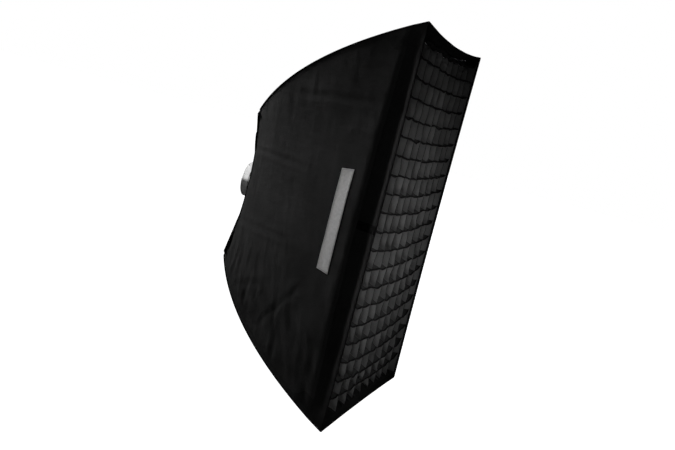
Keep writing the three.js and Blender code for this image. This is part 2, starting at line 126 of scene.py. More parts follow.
class Look:
    """A Principled material whose colour, roughness and bump come from textures."""

    def __init__(self, name, **sockets):
        self.material = bpy.data.materials.new(name)
        self.material.use_nodes = True
        self.tree = self.material.node_tree
        self.shader = self.tree.nodes["Principled BSDF"]
        self.normal = None
        self.feed(self.shader, **sockets)

    def feed(self, node, *numbered, **named):
        """Sets or links a node's inputs, in their order or by their names."""
        sockets = list(zip(node.inputs, numbered))
        sockets += [(node.inputs[name.replace("_", " ")], value) for name, value in named.items()]
        for socket, value in sockets:
            if hasattr(value, "is_output"):
                self.tree.links.new(value, socket)
            else:
                socket.default_value = value
        return node.outputs

    def node(self, kind, **properties):
        node = self.tree.nodes.new("ShaderNode" + kind)
        for name, value in properties.items():
            setattr(node, name, value)
        return node

    def place(self, stretch=(1, 1, 1), cloth=False):
        """Where a texture lies: on the cloth's own UVs in metres, or in the piece's space."""
        if cloth:
            source = self.node("UVMap", uv_map="cloth").outputs["UV"]
        else:
            source = self.node("TexCoord").outputs["Object"]
        return self.feed(self.node("Mapping"), Vector=source, Scale=stretch)["Vector"]

    def noise(self, scale, detail=3.0, stretch=(1, 1, 1), cloth=False):
        place = self.place(stretch, cloth)
        return self.feed(self.node("TexNoise"), Vector=place, Scale=scale, Detail=detail)["Fac"]

    def ribs(self, period, direction="X"):
        """Bands on the cloth, a period in metres apart."""
        node = self.node("TexWave", bands_direction=direction)
        scale = 2 * math.pi / (20 * period)
        return self.feed(node, Vector=self.place(cloth=True), Scale=scale)["Fac"]

    def math(self, operation, *values):
        return self.feed(self.node("Math", operation=operation), *values)[0]

    def mixed(self, first, second, share):
        parts = self.math("MULTIPLY", first, share), self.math("MULTIPLY", second, 1 - share)
        return self.math("ADD", *parts)

    def paint(self, value, dark, light, start=0.3, end=0.7):
        """Colours the surface from dark to light as a texture's value rises."""
        ramp = self.node("ValToRGB")
        for stop, position, colour in zip(ramp.color_ramp.elements, (start, end), (dark, light)):
            stop.position = position
            stop.color = (*(colour if isinstance(colour, tuple) else grey(colour)), 1.0)
        self.feed(self.shader, Base_Color=self.feed(ramp, Fac=value)["Color"])

    def rough(self, value, low, high):
        node = self.node("MapRange")
        outputs = self.feed(node, Value=value, From_Min=0.3, From_Max=0.7, To_Min=low, To_Max=high)
        self.feed(self.shader, Roughness=outputs["Result"])

    def bump(self, height, distance, strength):
        node = self.node("Bump")
        self.feed(node, Height=height, Distance=distance, Strength=strength)
        if self.normal is not None:
            self.feed(node, Normal=self.normal)
        self.normal = node.outputs["Normal"]
        self.feed(self.shader, Normal=self.normal)

    def weave(self, thread, depth):
        crossing = self.math("MULTIPLY", self.ribs(thread, "X"), self.ribs(thread, "Y"))
        self.bump(crossing, depth, 0.5)


def cloth_look(name, dark, light, crumple=0.5, thread=0.9 * MM):
    """Woven nylon: plain weave, slow colour variation and fine crumpling."""
    look = Look(name, Sheen_Weight=0.01, Sheen_Roughness=0.42, Specular_IOR_Level=0.0)
    patches = look.noise(9.0, 4.0)
    look.paint(look.mixed(patches, look.noise(260.0, 2.0), 0.75), dark, light)
    look.rough(patches, 0.62, 0.8)
    look.bump(look.noise(34.0, 5.0, (1, 0.7, 1.3)), 1.6 * MM, crumple)
    look.weave(thread, 0.25 * thread)
    return look.material


def tape_look(name, dark, light, rib):
    """Webbing and binding: ribs across the tape, a finer weave along it."""
    look = Look(name, Sheen_Weight=0.01, Sheen_Roughness=0.5, Specular_IOR_Level=0.0)
    look.paint(look.noise(60.0, 4.0), dark, light)
    look.rough(look.noise(25.0), 0.62, 0.82)
    look.bump(look.ribs(rib), 0.3 * rib, 0.7)
    look.bump(look.ribs(0.6 * rib, "Y"), 0.15 * rib, 0.6)
    return look.material


def pile_look(name, dark, light):
    """The fuzzy side of hook-and-loop tape."""
    look = Look(name, Sheen_Weight=0.01, Sheen_Roughness=0.6, Specular_IOR_Level=0.0)
    fuzz = look.noise(1400.0, 5.0)
    look.paint(fuzz, dark, light)
    look.rough(fuzz, 0.8, 0.95)
    look.bump(fuzz, 0.9 * MM, 0.9)
    return look.material


def lining_look(name, dark, light):
    """Silver-coated lining: a bright crinkled film."""
    look = Look(name, Metallic=0.75, Specular_IOR_Level=0.5)
    crinkle = look.noise(120.0, 6.0)
    look.paint(crinkle, dark, light)
    look.rough(crinkle, 0.26, 0.46)
    look.bump(crinkle, 1.2 * MM, 0.6)
    look.bump(look.ribs(1.0 * MM), 0.15 * MM, 0.4)
    return look.material


def diffusion_look(name, dark, light):
    """White translucent nylon with a faint weave."""
    depth = (4 * MM, 4 * MM, 4 * MM)
    look = Look(name, Sheen_Weight=0.15, Specular_IOR_Level=0.3, Subsurface_Weight=0.15,
                Subsurface_Radius=depth)
    look.paint(look.noise(12.0, 4.0), grey(dark, 0.012), grey(light, 0.006))
    look.rough(look.noise(30.0), 0.6, 0.75)
    look.bump(look.noise(20.0, 4.0), 2.0 * MM, 0.35)
    look.weave(1.1 * MM, 0.2 * MM)
    return look.material


def metal_look(name, dark, light, rough, turned_about=None):
    """Metal with smudges and fine scratches, which run in rings where it is turned about an axis."""
    look = Look(name, Metallic=1.0)
    if turned_about:
        parts = look.feed(look.node("SeparateXYZ"), look.node("TexCoord").outputs["Object"])
        squares = [look.math("MULTIPLY", parts[a], parts[a]) for a in "XYZ" if a != turned_about]
        radius = look.math("SQRT", look.math("ADD", *squares))
        rings = look.feed(look.node("CombineXYZ"), X=radius, Y=parts[turned_about])["Vector"]
        lines = look.feed(look.node("TexNoise"), Vector=rings, Scale=2600.0, Detail=2.0)["Fac"]
        depth, strength = 0.06 * MM, 0.5
    else:
        lines = look.noise(900.0)
        depth, strength = 0.08 * MM, 0.4
    smudge = look.noise(38.0 if turned_about else 45.0, 5.0)
    look.paint(smudge, dark, light, end=0.72)
    look.rough(smudge, *rough)
    look.bump(lines, depth, strength)
    return look.material


def coated_look(name, dark, light, rough, grain, depth):
    """Powder coat, moulded plastic or rubber: a fine grain and soft colour change."""
    look = Look(name, Specular_IOR_Level=0.4)
    speck, broad = look.noise(grain, 4.0), look.noise(40.0, 4.0)
    look.paint(look.mixed(broad, speck, 0.6), dark, light)
    look.rough(broad, *rough)
    look.bump(speck, depth * MM, 0.6)
    return look.material


def rod_look(name, dark, light):
    """Pultruded fibreglass: long streaks under a satin surface."""
    look = Look(name, Specular_IOR_Level=0.5, Coat_Weight=0.2, Coat_Roughness=0.3)
    streaks = look.noise(700.0, 3.0, (0.02, 1, 1), cloth=True)
    look.paint(streaks, dark, light, 0.35, 0.65)
    look.rough(streaks, 0.3, 0.5)
    look.bump(streaks, 0.1 * MM, 0.5)
    return look.material


def label_look(name, dark, light):
    """A woven satin label."""
    look = Look(name, Sheen_Weight=0.3, Sheen_Roughness=0.35, Specular_IOR_Level=0.35)
    look.paint(look.noise(140.0, 4.0), dark, light)
    look.rough(look.noise(50.0), 0.45, 0.6)
    look.bump(look.ribs(1.4 * MM, "DIAGONAL"), 0.25 * MM, 0.7)
    look.bump(look.ribs(0.8 * MM, "Y"), 0.1 * MM, 0.5)
    return look.material


def floor_look(name, dark, light):
    """A pale sweep that the camera sees as bright as the world behind it."""
    look = Look(name, Specular_IOR_Level=0.2, Roughness=0.8, Emission_Color=(1, 1, 1, 1))
    look.paint(look.noise(3.0), dark, light)
    seen = look.node("LightPath").outputs["Is Camera Ray"]
    look.feed(look.shader, Emission_Strength=look.math("MULTIPLY", seen, 1.1))
    return look.material


# Each look's slot in the record, and its material.
LOOKS = {
    "shell": ("outer_fabric", cloth_look("shell_nylon", 0.019, 0.029, crumple=0.75)),
    # Painted shade: a darker copy of the shell nylon, for the lips, the corner caps and the grid's rows,
    # which lie in shade.
    "lip": ("outer_fabric", cloth_look("lip_nylon_painted_shade", 0.014, 0.022)),
    "crate": ("grid_fabric", cloth_look("crate_nylon", 0.048, 0.078, crumple=0.7)),
    # Painted shade: a near-black copy of the grid fabric, for the lips' inner faces, the grid's hems and most
    # of its border.
    "crate_painted_shade": ("grid_fabric", cloth_look("grid_nylon_painted_shade", 0.004, 0.007)),
    "lining": ("outer_fabric", lining_look("silver_lining", 0.46, 0.66)),
    "tape": ("webbing", tape_look("black_webbing", 0.004, 0.007, 1.6 * MM)),
    "elastic": ("webbing", tape_look("black_elastic", 0.006, 0.012, 1.1 * MM)),
    "white_tape": ("diffusion_cloth", tape_look("white_binding", 0.55, 0.66, 1.4 * MM)),
    "thread": ("webbing", tape_look("sewing_thread", 0.006, 0.012, 0.5 * MM)),
    "pile": ("webbing", pile_look("hook_and_loop", 0.003, 0.008)),
    "front_cloth": ("diffusion_cloth", diffusion_look("front_diffusion_nylon", 0.78, 0.84)),
    "baffle_cloth": ("diffusion_cloth", diffusion_look("baffle_diffusion_nylon", 0.74, 0.80)),
    "label": ("label_cloth", label_look("label_satin", grey(0.38, 0.01), grey(0.47, 0.01))),
    "bright": ("bright_metal", metal_look("collar_aluminium", 0.62, 0.80, (0.2, 0.34), "Y")),
    "steel": ("steel", metal_look("steel_plated", 0.42, 0.56, (0.24, 0.4))),
    "nut_steel": ("steel", metal_look("nut_steel", 0.40, 0.55, (0.22, 0.36), "Z")),
    "casting": ("black_casting", coated_look("black_powder_coat", 0.014, 0.026, (0.42, 0.6), 900.0, 0.12)),
    "polymer": ("black_polymer",
                coated_look("moulded_black_polymer", 0.011, 0.02, (0.45, 0.62), 1300.0, 0.06)),
    "rubber": ("rubber", coated_look("black_rubber", 0.008, 0.016, (0.75, 0.92), 1100.0, 0.1)),
    "nylon": ("nylon",
              coated_look("natural_nylon", grey(0.62, 0.03), grey(0.72, 0.03), (0.4, 0.55), 600.0, 0.05)),
    "rod": ("fibreglass", rod_look("rod_fibreglass", 0.010, grey(0.030, 0.05))),
}

# ---------------------------------------------------------------- mesh helpers
# A shape is (points, faces, UVs or None, material index of each face or None).


def mesh_of(shape, name="work"):
    points, faces, _, _ = shape
    mesh = bpy.data.meshes.new(name)
    mesh.from_pydata(np.asarray(points).tolist(), [], [list(face) for face in faces])
    return mesh


def add_piece(name, shape, looks, nodes=(), body="softbox", crisp=35.0):
    """Makes a piece that rides on a body and stands for the CAD nodes that it replaces."""
    _, _, uvs, index = shape
    mesh = mesh_of(shape, name)
    if uvs is not None:
        corners = np.empty(len(mesh.loops), dtype=np.int32)
        mesh.loops.foreach_get("vertex_index", corners)
        mesh.uv_layers.new(name="cloth").data.foreach_set("uv", np.asarray(uvs)[corners].ravel())
    looks = [looks] if isinstance(looks, str) else looks
    for look in looks:
        mesh.materials.append(LOOKS[look][1])
    if index is not None:
        mesh.polygons.foreach_set("material_index", index)
    mesh.polygons.foreach_set("use_smooth", [True] * len(mesh.polygons))
    mesh.set_sharp_from_angle(angle=math.radians(crisp))
    mesh.update()
    piece = put(name, mesh)
    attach(piece, body)
    if nodes:
        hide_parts(*nodes)
    return piece


def merged(*shapes):
    """One shape out of several."""
    points, faces, uvs, index = [], [], [], []
    count = 0
    for part_points, part_faces, part_uvs, part_index in shapes:
        points.append(np.asarray(part_points, dtype=float))
        faces += [[count + i for i in face] for face in part_faces]
        uvs.append(np.zeros((len(part_points), 2)) if part_uvs is None else part_uvs)
        index += [0] * len(part_faces) if part_index is None else list(part_index)
        count += len(part_points)
    return np.vstack(points), faces, np.vstack(uvs), index


def moved(shape, matrix):
    points, *rest = shape
    full = np.array(matrix)
    return (np.asarray(points) @ full[:3, :3].T + full[:3, 3], *rest)


def solid(points, faces, uvs=None, index=None):
    """A closed shape with its faces turned outward."""
    points = np.asarray(points, dtype=float)
    corners = np.array([(face[0], b, c) for face in faces for b, c in zip(face[1:], face[2:])])
    a, b, c = (points[corners[:, k]] for k in range(3))
    if np.sum(a * np.cross(b, c)) < 0:
        faces = [face[::-1] for face in faces]
    return points, faces, uvs, index


def grid_faces(rows, columns, closed_rows=False, closed_columns=False):
    i = np.arange(rows if closed_rows else rows - 1)
    j = np.arange(columns if closed_columns else columns - 1)
    i, j = (a.ravel() for a in lattice(i, j))
    k, m = (i + 1) % rows, (j + 1) % columns
    quads = [i * columns + j, k * columns + j, k * columns + m, i * columns + m]
    return np.stack(quads, axis=1).tolist()


def unit(vectors):
    return vectors / np.maximum(np.linalg.norm(vectors, axis=-1, keepdims=True), 1e-12)


def beside(path, normal):
    """Directions square to a path and to a surface's normals along it."""
    return unit(np.cross(unit(np.gradient(path, axis=0)), normal))


def distance_along(path):
    return np.concatenate([[0], np.cumsum(np.linalg.norm(np.diff(path, axis=0), axis=1))])


lattice = partial(np.meshgrid, indexing="ij")


def stacked(*parts):
    return np.stack(np.broadcast_arrays(*parts), axis=-1)


def slab(outer, inner, uv):
    """A closed thin sheet between two grids of points; inner faces get material 1."""
    rows, columns = outer.shape[:2]
    count = rows * columns
    top = grid_faces(rows, columns)
    low = [[i + count for i in face[::-1]] for face in top]
    ring = np.arange(count).reshape(rows, columns)
    edge = np.concatenate([ring[:, 0], ring[-1, 1:], ring[-2::-1, -1], ring[0, -2:0:-1]]).tolist()
    rim = [[a, a + count, b + count, b] for a, b in zip(edge, edge[1:] + edge[:1])]
    points = np.vstack([outer.reshape(-1, 3), inner.reshape(-1, 3)])
    index = [0] * len(top) + [1] * len(low) + [0] * len(rim)
    return solid(points, top + low + rim, np.vstack([uv.reshape(-1, 2)] * 2), index)


def sweep(path, section, sides, lifts, closed=False):
    """Carries a section of (side, lift) along a path with given side and lift directions."""
    path, section = np.asarray(path, dtype=float), np.asarray(section)
    rows, columns = len(path), len(section)
    sides, lifts = (np.broadcast_to(way, path.shape)[:, None] for way in (sides, lifts))
    points = path[:, None] + section[:, :1] * sides + section[:, 1:] * lifts
    turn = np.linspace(0, distance_along(section)[-1], columns)
    uv = stacked(distance_along(path)[:, None], turn[None]).reshape(-1, 2)
    faces = grid_faces(rows, columns, closed_rows=closed, closed_columns=True)
    if not closed:
        faces += [list(range(columns))[::-1], [(rows - 1) * columns + j for j in range(columns)]]
    return solid(points.reshape(-1, 3), faces, uv)


def circle(radius, sides, squash=1.0):
    angle = np.linspace(0, 2 * np.pi, sides, endpoint=False)
    return stacked(radius * np.cos(angle), squash * radius * np.sin(angle))


def tube(path, radius, sides, hint=(0, 0, 1), closed=False):
    side = beside(path, hint)
    lift = unit(np.cross(side, unit(np.gradient(path, axis=0))))
    return sweep(path, circle(radius, sides), side, lift, closed)


def tape_section(width, thickness):
    """A flat tape's section with rounded edges, lying on its path."""
    w, t = width / 2, thickness
    return np.array([(-w, 0.25 * t), (-w + 0.4 * t, 0), (w - 0.4 * t, 0), (w, 0.25 * t), (w, 0.75 * t),
                     (w - 0.4 * t, t), (0, 1.06 * t), (-w + 0.4 * t, t), (-w, 0.75 * t)])


def ribbon(path, normal, width, thickness, sink=0.0):
    """A flat tape along a path, lying on a surface with the given normals."""
    return sweep(path, tape_section(width, thickness) - [0, sink], beside(path, normal), normal)


def shift(x, y, z=0.0):
    return Matrix.Translation((x, y, z))


def turned(shape, degrees, axis="Y"):
    return moved(shape, Matrix.Rotation(math.radians(degrees), 4, axis))


def polar(radius, angle, y):
    return stacked(radius * np.cos(angle), y, radius * np.sin(angle))


def rounded(outline, radius, steps=3):
    """Rounds the corners of a closed outline of (radius, height) points, except on the axis."""
    outline = [np.array(point, dtype=float) for point in outline]
    result = []
    for before, corner, after in zip(outline[-1:] + outline, outline, outline[1:] + outline[:1]):
        if corner[0] < 1e-9:
            result.append(corner)
            continue
        sides = [before - corner, after - corner]
        lengths = [np.linalg.norm(side) for side in sides]
        reach = min(radius, 0.42 * min(lengths))
        start, end = (corner + side / length * reach for side, length in zip(sides, lengths))
        for t in np.linspace(0, 1, steps + 1):
            result.append((1 - t) ** 2 * start + 2 * t * (1 - t) * corner + t * t * end)
    return result


def lathe(outline, segments, soften, ripple=None):
    """A part turned about Y. ripple(angle, radius, height) gives a point's radius."""
    outline = np.array(rounded(outline, soften) if soften else outline, dtype=float)
    angle = np.linspace(0, 2 * np.pi, segments, endpoint=False)[:, None]
    radius, height = outline[None, :, 0], outline[None, :, 1]
    if ripple is not None:
        radius = ripple(angle, radius, height)
    points = polar(radius, -angle, height).reshape(-1, 3)
    faces = grid_faces(segments, len(outline), closed_rows=True, closed_columns=True)
    return welded(solid(points, faces))


def ring(inner, outer, low, high, segments, soften, ripple=None):
    """A ring about Y, or a round bar where inner is 0."""
    return lathe([(inner, low), (outer, low), (outer, high), (inner, high)], segments, soften, ripple)


def welded(shape):
    """Merges points that coincide and drops the faces that collapse."""
    points, faces, _, _ = shape
    places = np.round(points * 1e7).astype(np.int64)
    _, first, inverse = np.unique(places, axis=0, return_index=True, return_inverse=True)
    inverse = inverse.ravel().tolist()
    kept = []
    for face in faces:
        ring = [inverse[i] for i in face]
        ring = [corner for i, corner in enumerate(ring) if corner != ring[i - 1]]
        if len(set(ring)) > 2:
            kept.append(ring)
    return points[first], kept, None, None


def shape_of(work):
    work.verts.index_update()
    points = np.array([vert.co[:] for vert in work.verts])
    faces = [[vert.index for vert in face.verts] for face in work.faces]
    work.free()
    return points, faces, None, None


def bevelled(shape, width, segments=2, angle=30.0):
    """Rounds the sharp edges of a solid."""
    mesh, work = mesh_of(shape), bmesh.new()
    work.from_mesh(mesh)
    bpy.data.meshes.remove(mesh)
    sharp = [e for e in work.edges if e.is_manifold and e.calc_face_angle() > math.radians(angle)]
    bmesh.ops.bevel(work, geom=sharp, offset=width, segments=segments, affect="EDGES", profile=0.5,
                    clamp_overlap=True)
    return shape_of(work)


def boolean(shape, other, operation="DIFFERENCE"):
    """Cuts one closed solid with another, or joins them."""
    first, second = (put("work", mesh_of(item)) for item in (shape, other))
    modifier = first.modifiers.new("boolean", "BOOLEAN")
    modifier.operation = operation
    modifier.solver = "EXACT"
    modifier.object = second
    work = bmesh.new()
    work.from_object(first, bpy.context.evaluated_depsgraph_get())
    for item in (first, second):
        mesh = item.data
        bpy.data.objects.remove(item)
        bpy.data.meshes.remove(mesh)
    return shape_of(work)


def cuboid(size, centre, bevel):
    signs = np.array([(x, y, z) for x in (-1, 1) for y in (-1, 1) for z in (-1, 1)])
    faces = [[0, 1, 3, 2], [4, 6, 7, 5], [0, 4, 5, 1], [2, 3, 7, 6], [0, 2, 6, 4], [1, 5, 7, 3]]
    return bevelled((signs * np.array(size) / 2 + np.array(centre), faces, None, None), bevel)


def prism(outline, low, high):
    """A flat outline in X and Z, solid between two heights in Y."""
    count = len(outline)
    points = [(x, y, z) for y in (low, high) for x, z in outline]
    sides = [[i, (i + 1) % count, count + (i + 1) % count, count + i] for i in range(count)]
    return solid(points, [list(range(count))[::-1], list(range(count, 2 * count)), *sides])


def stitches(path, normals, pitch=4.2 * MM, length=3.1 * MM, radius=0.32 * MM):
    """A row of sewn stitches lying on a surface along a path."""
    distance = distance_along(path)
    at = (np.arange(int(distance[-1] / pitch)) + 0.5) * pitch
    lines = path, np.gradient(path, distance, axis=0), np.broadcast_to(normals, path.shape)
    centre, along, lift = (stacked(*(np.interp(at, distance, way) for way in line.T)) for line in lines)
    along, lift = unit(along), unit(lift)
    # One stitch, as places along it, beside it and off the cloth: two sunk ends with two rings between.
    rings = [(step, x, z + 0.35) for step in (-0.6, 0.6) for x, z in ((1, 0), (0, 1), (-1, 0), (0, -1))]
    one = np.array([(-1, 0, -1), *rings, (1, 0, -1)])
    ways = np.stack([along * length / 2, np.cross(along, lift) * radius, lift * radius], axis=1)
    points = one @ ways
    turns = [(k, (k + 1) % 4) for k in range(4)]
    faces = [[0, 1 + b, 1 + a] for a, b in turns] + [[9, 5 + a, 5 + b] for a, b in turns]
    faces = solid(points[0], faces + [[1 + a, 1 + b, 5 + b, 5 + a] for a, b in turns])[1]
    faces = [[len(one) * number + i for i in face] for number in range(len(at)) for face in faces]
    return (centre[:, None] + points).reshape(-1, 3), faces, None, None


def noise2(x, y, seed):
    """Smooth seeded noise from -1 to 1 on a plane."""
    table = np.random.default_rng(seed).uniform(-1, 1, (97, 89))
    xi, yi = np.floor(x).astype(int), np.floor(y).astype(int)
    fx, fy = (f * f * f * (f * (6 * f - 15) + 10) for f in (x - xi, y - yi))
    low, high = (table[(xi + a) % 97, yi % 89] * (1 - fy) + table[(xi + a) % 97, (yi + 1) % 89] * fy
                 for a in (0, 1))
    return low * (1 - fx) + high * fx


def ease(value):
    value = np.clip(value, 0, 1)
    return value * value * (3 - 2 * value)


def bell(value):
    return np.exp(-value * value)


def dense(low, high, count, power=1.0):
    """Steps from low to high, closer together at both ends if power is over 1."""
    t = np.linspace(-1, 1, count)
    t = np.sign(t) * (1 - (1 - np.abs(t)) ** power)
    return low + (high - low) * (t + 1) / 2

# ---------------------------------------------------------------- shell surfaces

SHARE_X, SHARE_Z = 0.6, 0.8  # a rod's direction across the face
CORNERS = [(-1, 1), (1, 1), (1, -1), (-1, -1)]
HALF_DIAGONAL = 0.75
FRONT_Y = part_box("left_lip")[0][1]
CREASE_Y = -0.528
RIDGE = np.array([(0.300, -0.052), (0.527, -0.165), (0.727, CREASE_Y)])  # the curve over each rod
RIDGE_END = RIDGE[2, 0]
CREASE_RISE, CREASE_BOW = 0.020, 0.026  # how the crease runs back and in at the middle of a side
REAR_BOW, DRAW = 0.022, 0.040  # how the panel's rear edge runs in, and how far it is drawn in between
CREASE_SINK = 0.013  # depth of the fold in the lip, in front of the crease
PANEL_DEPTH = 0.66  # from a panel's rear edge to its crease, along a rod
HOLE_RADIUS, HOLE_Y = 0.066, -0.034
CLOTH = 1.2 * MM  # thickness of the lined fabric
REAR = (0.0, 1.0, 0.0)


class Wall:
    """One side of the shell. A fold is an old crease in its panel: two ends, as shares of the depth
    and of half the length, then how deep and how wide it is in metres."""

    def __init__(self, name, sign, upright, bow, edge_bow, seed, folds):
        self.name, self.sign, self.upright, self.bow = name, sign, upright, bow
        self.edge_bow, self.seed, self.folds = edge_bow, seed, folds
        self.across, self.along = (SHARE_X, SHARE_Z) if upright else (SHARE_Z, SHARE_X)

    def place(self, across, along, y):
        across = self.sign * across
        return stacked(across, y, along) if self.upright else stacked(along, y, across)


LEFT_FOLDS = [
    ((0.0, 0.49), (0.58, 0.26), 0.0010, 0.007), ((0.58, 0.26), (0.70, 0.23), 0.0006, 0.007),
    ((0.0, -0.48), (0.62, -0.25), 0.0008, 0.008), ((0.40, 0.84), (0.98, 0.61), 0.0008, 0.010),
    ((0.55, -0.93), (0.80, -0.42), 0.0009, 0.010), ((0.25, -0.95), (0.55, -0.60), 0.0010, 0.011),
]
RIGHT_FOLDS = [
    ((0.0, 0.50), (0.60, 0.27), 0.0009, 0.010), ((0.0, -0.46), (0.55, -0.24), 0.0008, 0.011),
    ((0.45, -0.85), (0.95, -0.58), 0.0007, 0.012),
]
END_FOLDS = [((0.0, 0.45), (0.60, 0.24), 0.0009, 0.010), ((0.0, -0.50), (0.55, -0.28), 0.0009, 0.011)]
LEFT = Wall("left", -1, True, 1.0, 0.018, 11, LEFT_FOLDS)
RIGHT = Wall("right", 1, True, 1.0, 0.018, 23, RIGHT_FOLDS)
TOP = Wall("top", 1, False, 0.6, 0.019, 37, END_FOLDS)
BOTTOM = Wall("bottom", -1, False, 0.6, 0.005, 41, END_FOLDS)
WALLS = (LEFT, RIGHT, TOP, BOTTOM)


def ridge(s):
    s = np.asarray(s)[..., None]
    return (1 - s) ** 2 * RIDGE[0] + 2 * s * (1 - s) * RIDGE[1] + s * s * RIDGE[2]


def ridge_slope(s):
    s = np.asarray(s)[..., None]
    return unit((1 - s) * (RIDGE[1] - RIDGE[0]) + s * (RIDGE[2] - RIDGE[1]))


def panel_base(wall, s, v):
    """The smooth panel: s runs from its rear edge (0) to the crease (1), v from rod to rod (-1 to 1)."""
    at, slope = ridge(s), ridge_slope(s)
    steepness = np.arctan2(-slope[..., 1], slope[..., 0] * wall.across)
    crown = wall.bow * (1 - v * v)
    bow = (REAR_BOW + (CREASE_BOW - REAR_BOW) * s + DRAW * s * (1 - s)) * crown
    across = at[..., 0] * wall.across - bow * np.sin(steepness)
    y = at[..., 1] - bow * np.cos(steepness) * (1 - s) + CREASE_RISE * s ** 6 * crown
    return wall.place(across, v * at[..., 0] * wall.along, y)


def lip_length(wall, v):
    return CREASE_Y - FRONT_Y + wall.bow * CREASE_RISE * (1 - v * v)


def lip_base(wall, q, v):
    """The smooth lip: q runs from the crease (0) to the front edge (1)."""
    reach = RIDGE_END + (HALF_DIAGONAL - RIDGE_END) * q
    bow = (wall.bow * CREASE_BOW * (1 - q) + wall.edge_bow * q) * (1 - v * v)
    y = FRONT_Y + lip_length(wall, v) * (1 - q)
    return wall.place(reach * wall.across - bow, v * reach * wall.along, y)


def flap_base(wall, q, v):
    """The smooth rear flap: q runs from the panel's rear edge (0) to the collar hole (1)."""
    angle = v * math.atan2(wall.along, wall.across)
    edge = wall.place(HOLE_RADIUS * np.cos(angle), HOLE_RADIUS * np.sin(angle), HOLE_Y)
    start = panel_base(wall, np.zeros_like(q), v)
    return start * (1 - q)[..., None] + edge * q[..., None]


def normals_of(base, wall, a, b, step=1e-4):
    along = base(wall, np.clip(a + step, 0, 1), b) - base(wall, np.clip(a - step, 0, 1), b)
    across = base(wall, a, np.clip(b + step, -1, 1)) - base(wall, a, np.clip(b - step, -1, 1))
    normal = unit(np.cross(along, across))
    outward = REAR if base is flap_base else wall.place(1.0, 0.0, 0.35)
    return normal * np.sign(normal @ np.asarray(outward))[..., None]


def valley(wall, v, ahead):
    """Depth of the fold drawn in just in front of the crease, ahead metres from it."""
    start, length = -0.024, lip_length(wall, v)
    bottom = 0.52 * length
    fall = ease((ahead - start) / (bottom - start))
    climb = ease((length - ahead) / (length - bottom))
    hold = (1 - v ** 4) * ease((1 - np.abs(v)) / 0.1)
    return CREASE_SINK * (0.45 + 0.55 * wall.bow) * hold * np.where(ahead < bottom, fall, climb)


def fold_relief(wall, run, along):
    """The old creases: each a groove with a low ridge beside it."""
    relief = 0.0 * run
    for *ends, depth, width in wall.folds:
        a, b = (np.array([PANEL_DEPTH * s, v * wall.along * ridge(s)[0]]) for s, v in ends)
        way = b - a
        t = np.clip(((run - a[0]) * way[0] + (along - a[1]) * way[1]) / (way @ way), 0, 1)
        off = np.hypot(run - a[0] - t * way[0], along - a[1] - t * way[1]) / width
        fade = ease(4 * t + 0.3) * ease(4 * (1 - t) + 0.15)
        relief += depth * fade * (0.5 * bell(off - 2) - bell(off))
    return relief


def panel_relief(wall, s, v):
    """How far the fabric stands off the smooth panel, outward."""
    half, seed = ridge(s)[..., 0] * wall.along, wall.seed
    run, along, to_rod = PANEL_DEPTH * s, v * half, (1 - np.abs(v)) * half
    relief = fold_relief(wall, run, along)
    # Short tension folds that start at the rod and run towards the middle.
    pull = noise2(run / 0.030, along / 0.40 + seed, seed) * np.exp(-to_rod / 0.085)
    relief += 0.0009 * pull * ease(to_rod / 0.02)
    # Ripples gathered at the crease and at the rear seam.
    gather = noise2(along / 0.024, s * 2, seed + 1) * np.exp(-(1 - s) / 0.055)
    relief += 0.0006 * gather * ease((1 - s) / 0.012)
    gather = noise2(along / 0.030, s * 3, seed + 2) * np.exp(-s / 0.06)
    relief += 0.0005 * gather * ease(s / 0.015)
    # Slack, crumpled cloth: more of it low down near the rods.
    skew = run + 0.6 * along
    crumple = noise2(skew / 0.040, along / 0.055, seed + 3)
    crumple = crumple + 0.6 * noise2(run / 0.019, skew / 0.026, seed + 4)
    low = ease((-v - 0.25) / 0.5) if wall.upright else 0.4
    relief += (0.0005 + 0.0022 * low * np.exp(-to_rod / 0.24)) * crumple
    broad = noise2(run / 0.15, along / 0.19, seed + 5)
    relief += 0.0014 * broad * ease(s / 0.1) * ease((1 - s) / 0.1)
    return relief * ease(to_rod / 0.05) - valley(wall, v, -0.8 * (1 - s))


def lip_relief(wall, q, v):
    half, seed = RIDGE_END * wall.along, wall.seed
    along = v * half
    ripple = noise2(along / 0.055, q * 0.8, seed + 6) + 0.5 * noise2(along / 0.021, q * 1.6, seed + 7)
    fade = ease((1 - np.abs(v)) * half / 0.05) * ease(q / 0.15) * (1 - 0.6 * ease((q - 0.7) / 0.3))
    return 0.0011 * ripple * fade - valley(wall, v, q * lip_length(wall, v))


def flap_relief(wall, q, v):
    angle, seed = v * math.atan2(wall.along, wall.across), wall.seed
    gather = np.sin(30 * angle + 1.7 * noise2(angle * 3, q * 2, seed + 8)) * ease((q - 0.35) / 0.6) ** 2
    sag, crumple = noise2(q * 2.5, v * 2.2, seed + 9), noise2(q * 9 + 2 * v, v * 9, seed + 10)
    inner = ease(q / 0.08) * ease((1 - q) / 0.05)
    relief = 0.0015 * gather * ease((1 - q) / 0.03) + (0.0028 * sag + 0.0008 * crumple) * inner
    return relief * ease((1 - np.abs(v)) / 0.12)


def on(base, relief, wall, a, b, lift=0.0):
    """Points and normals on a wrinkled surface, lifted off it."""
    a, b = np.broadcast_arrays(np.asarray(a, dtype=float), np.asarray(b, dtype=float))
    normal = normals_of(base, wall, a, b)
    return base(wall, a, b) + normal * (relief(wall, a, b) + lift)[..., None], normal


on_panel = partial(on, panel_base, panel_relief)
on_lip = partial(on, lip_base, lip_relief)
on_flap = partial(on, flap_base, flap_relief)


def sew(surface, wall, a, b, lift=0.0, **size):
    return stitches(*surface(wall, a, b, lift), **size)


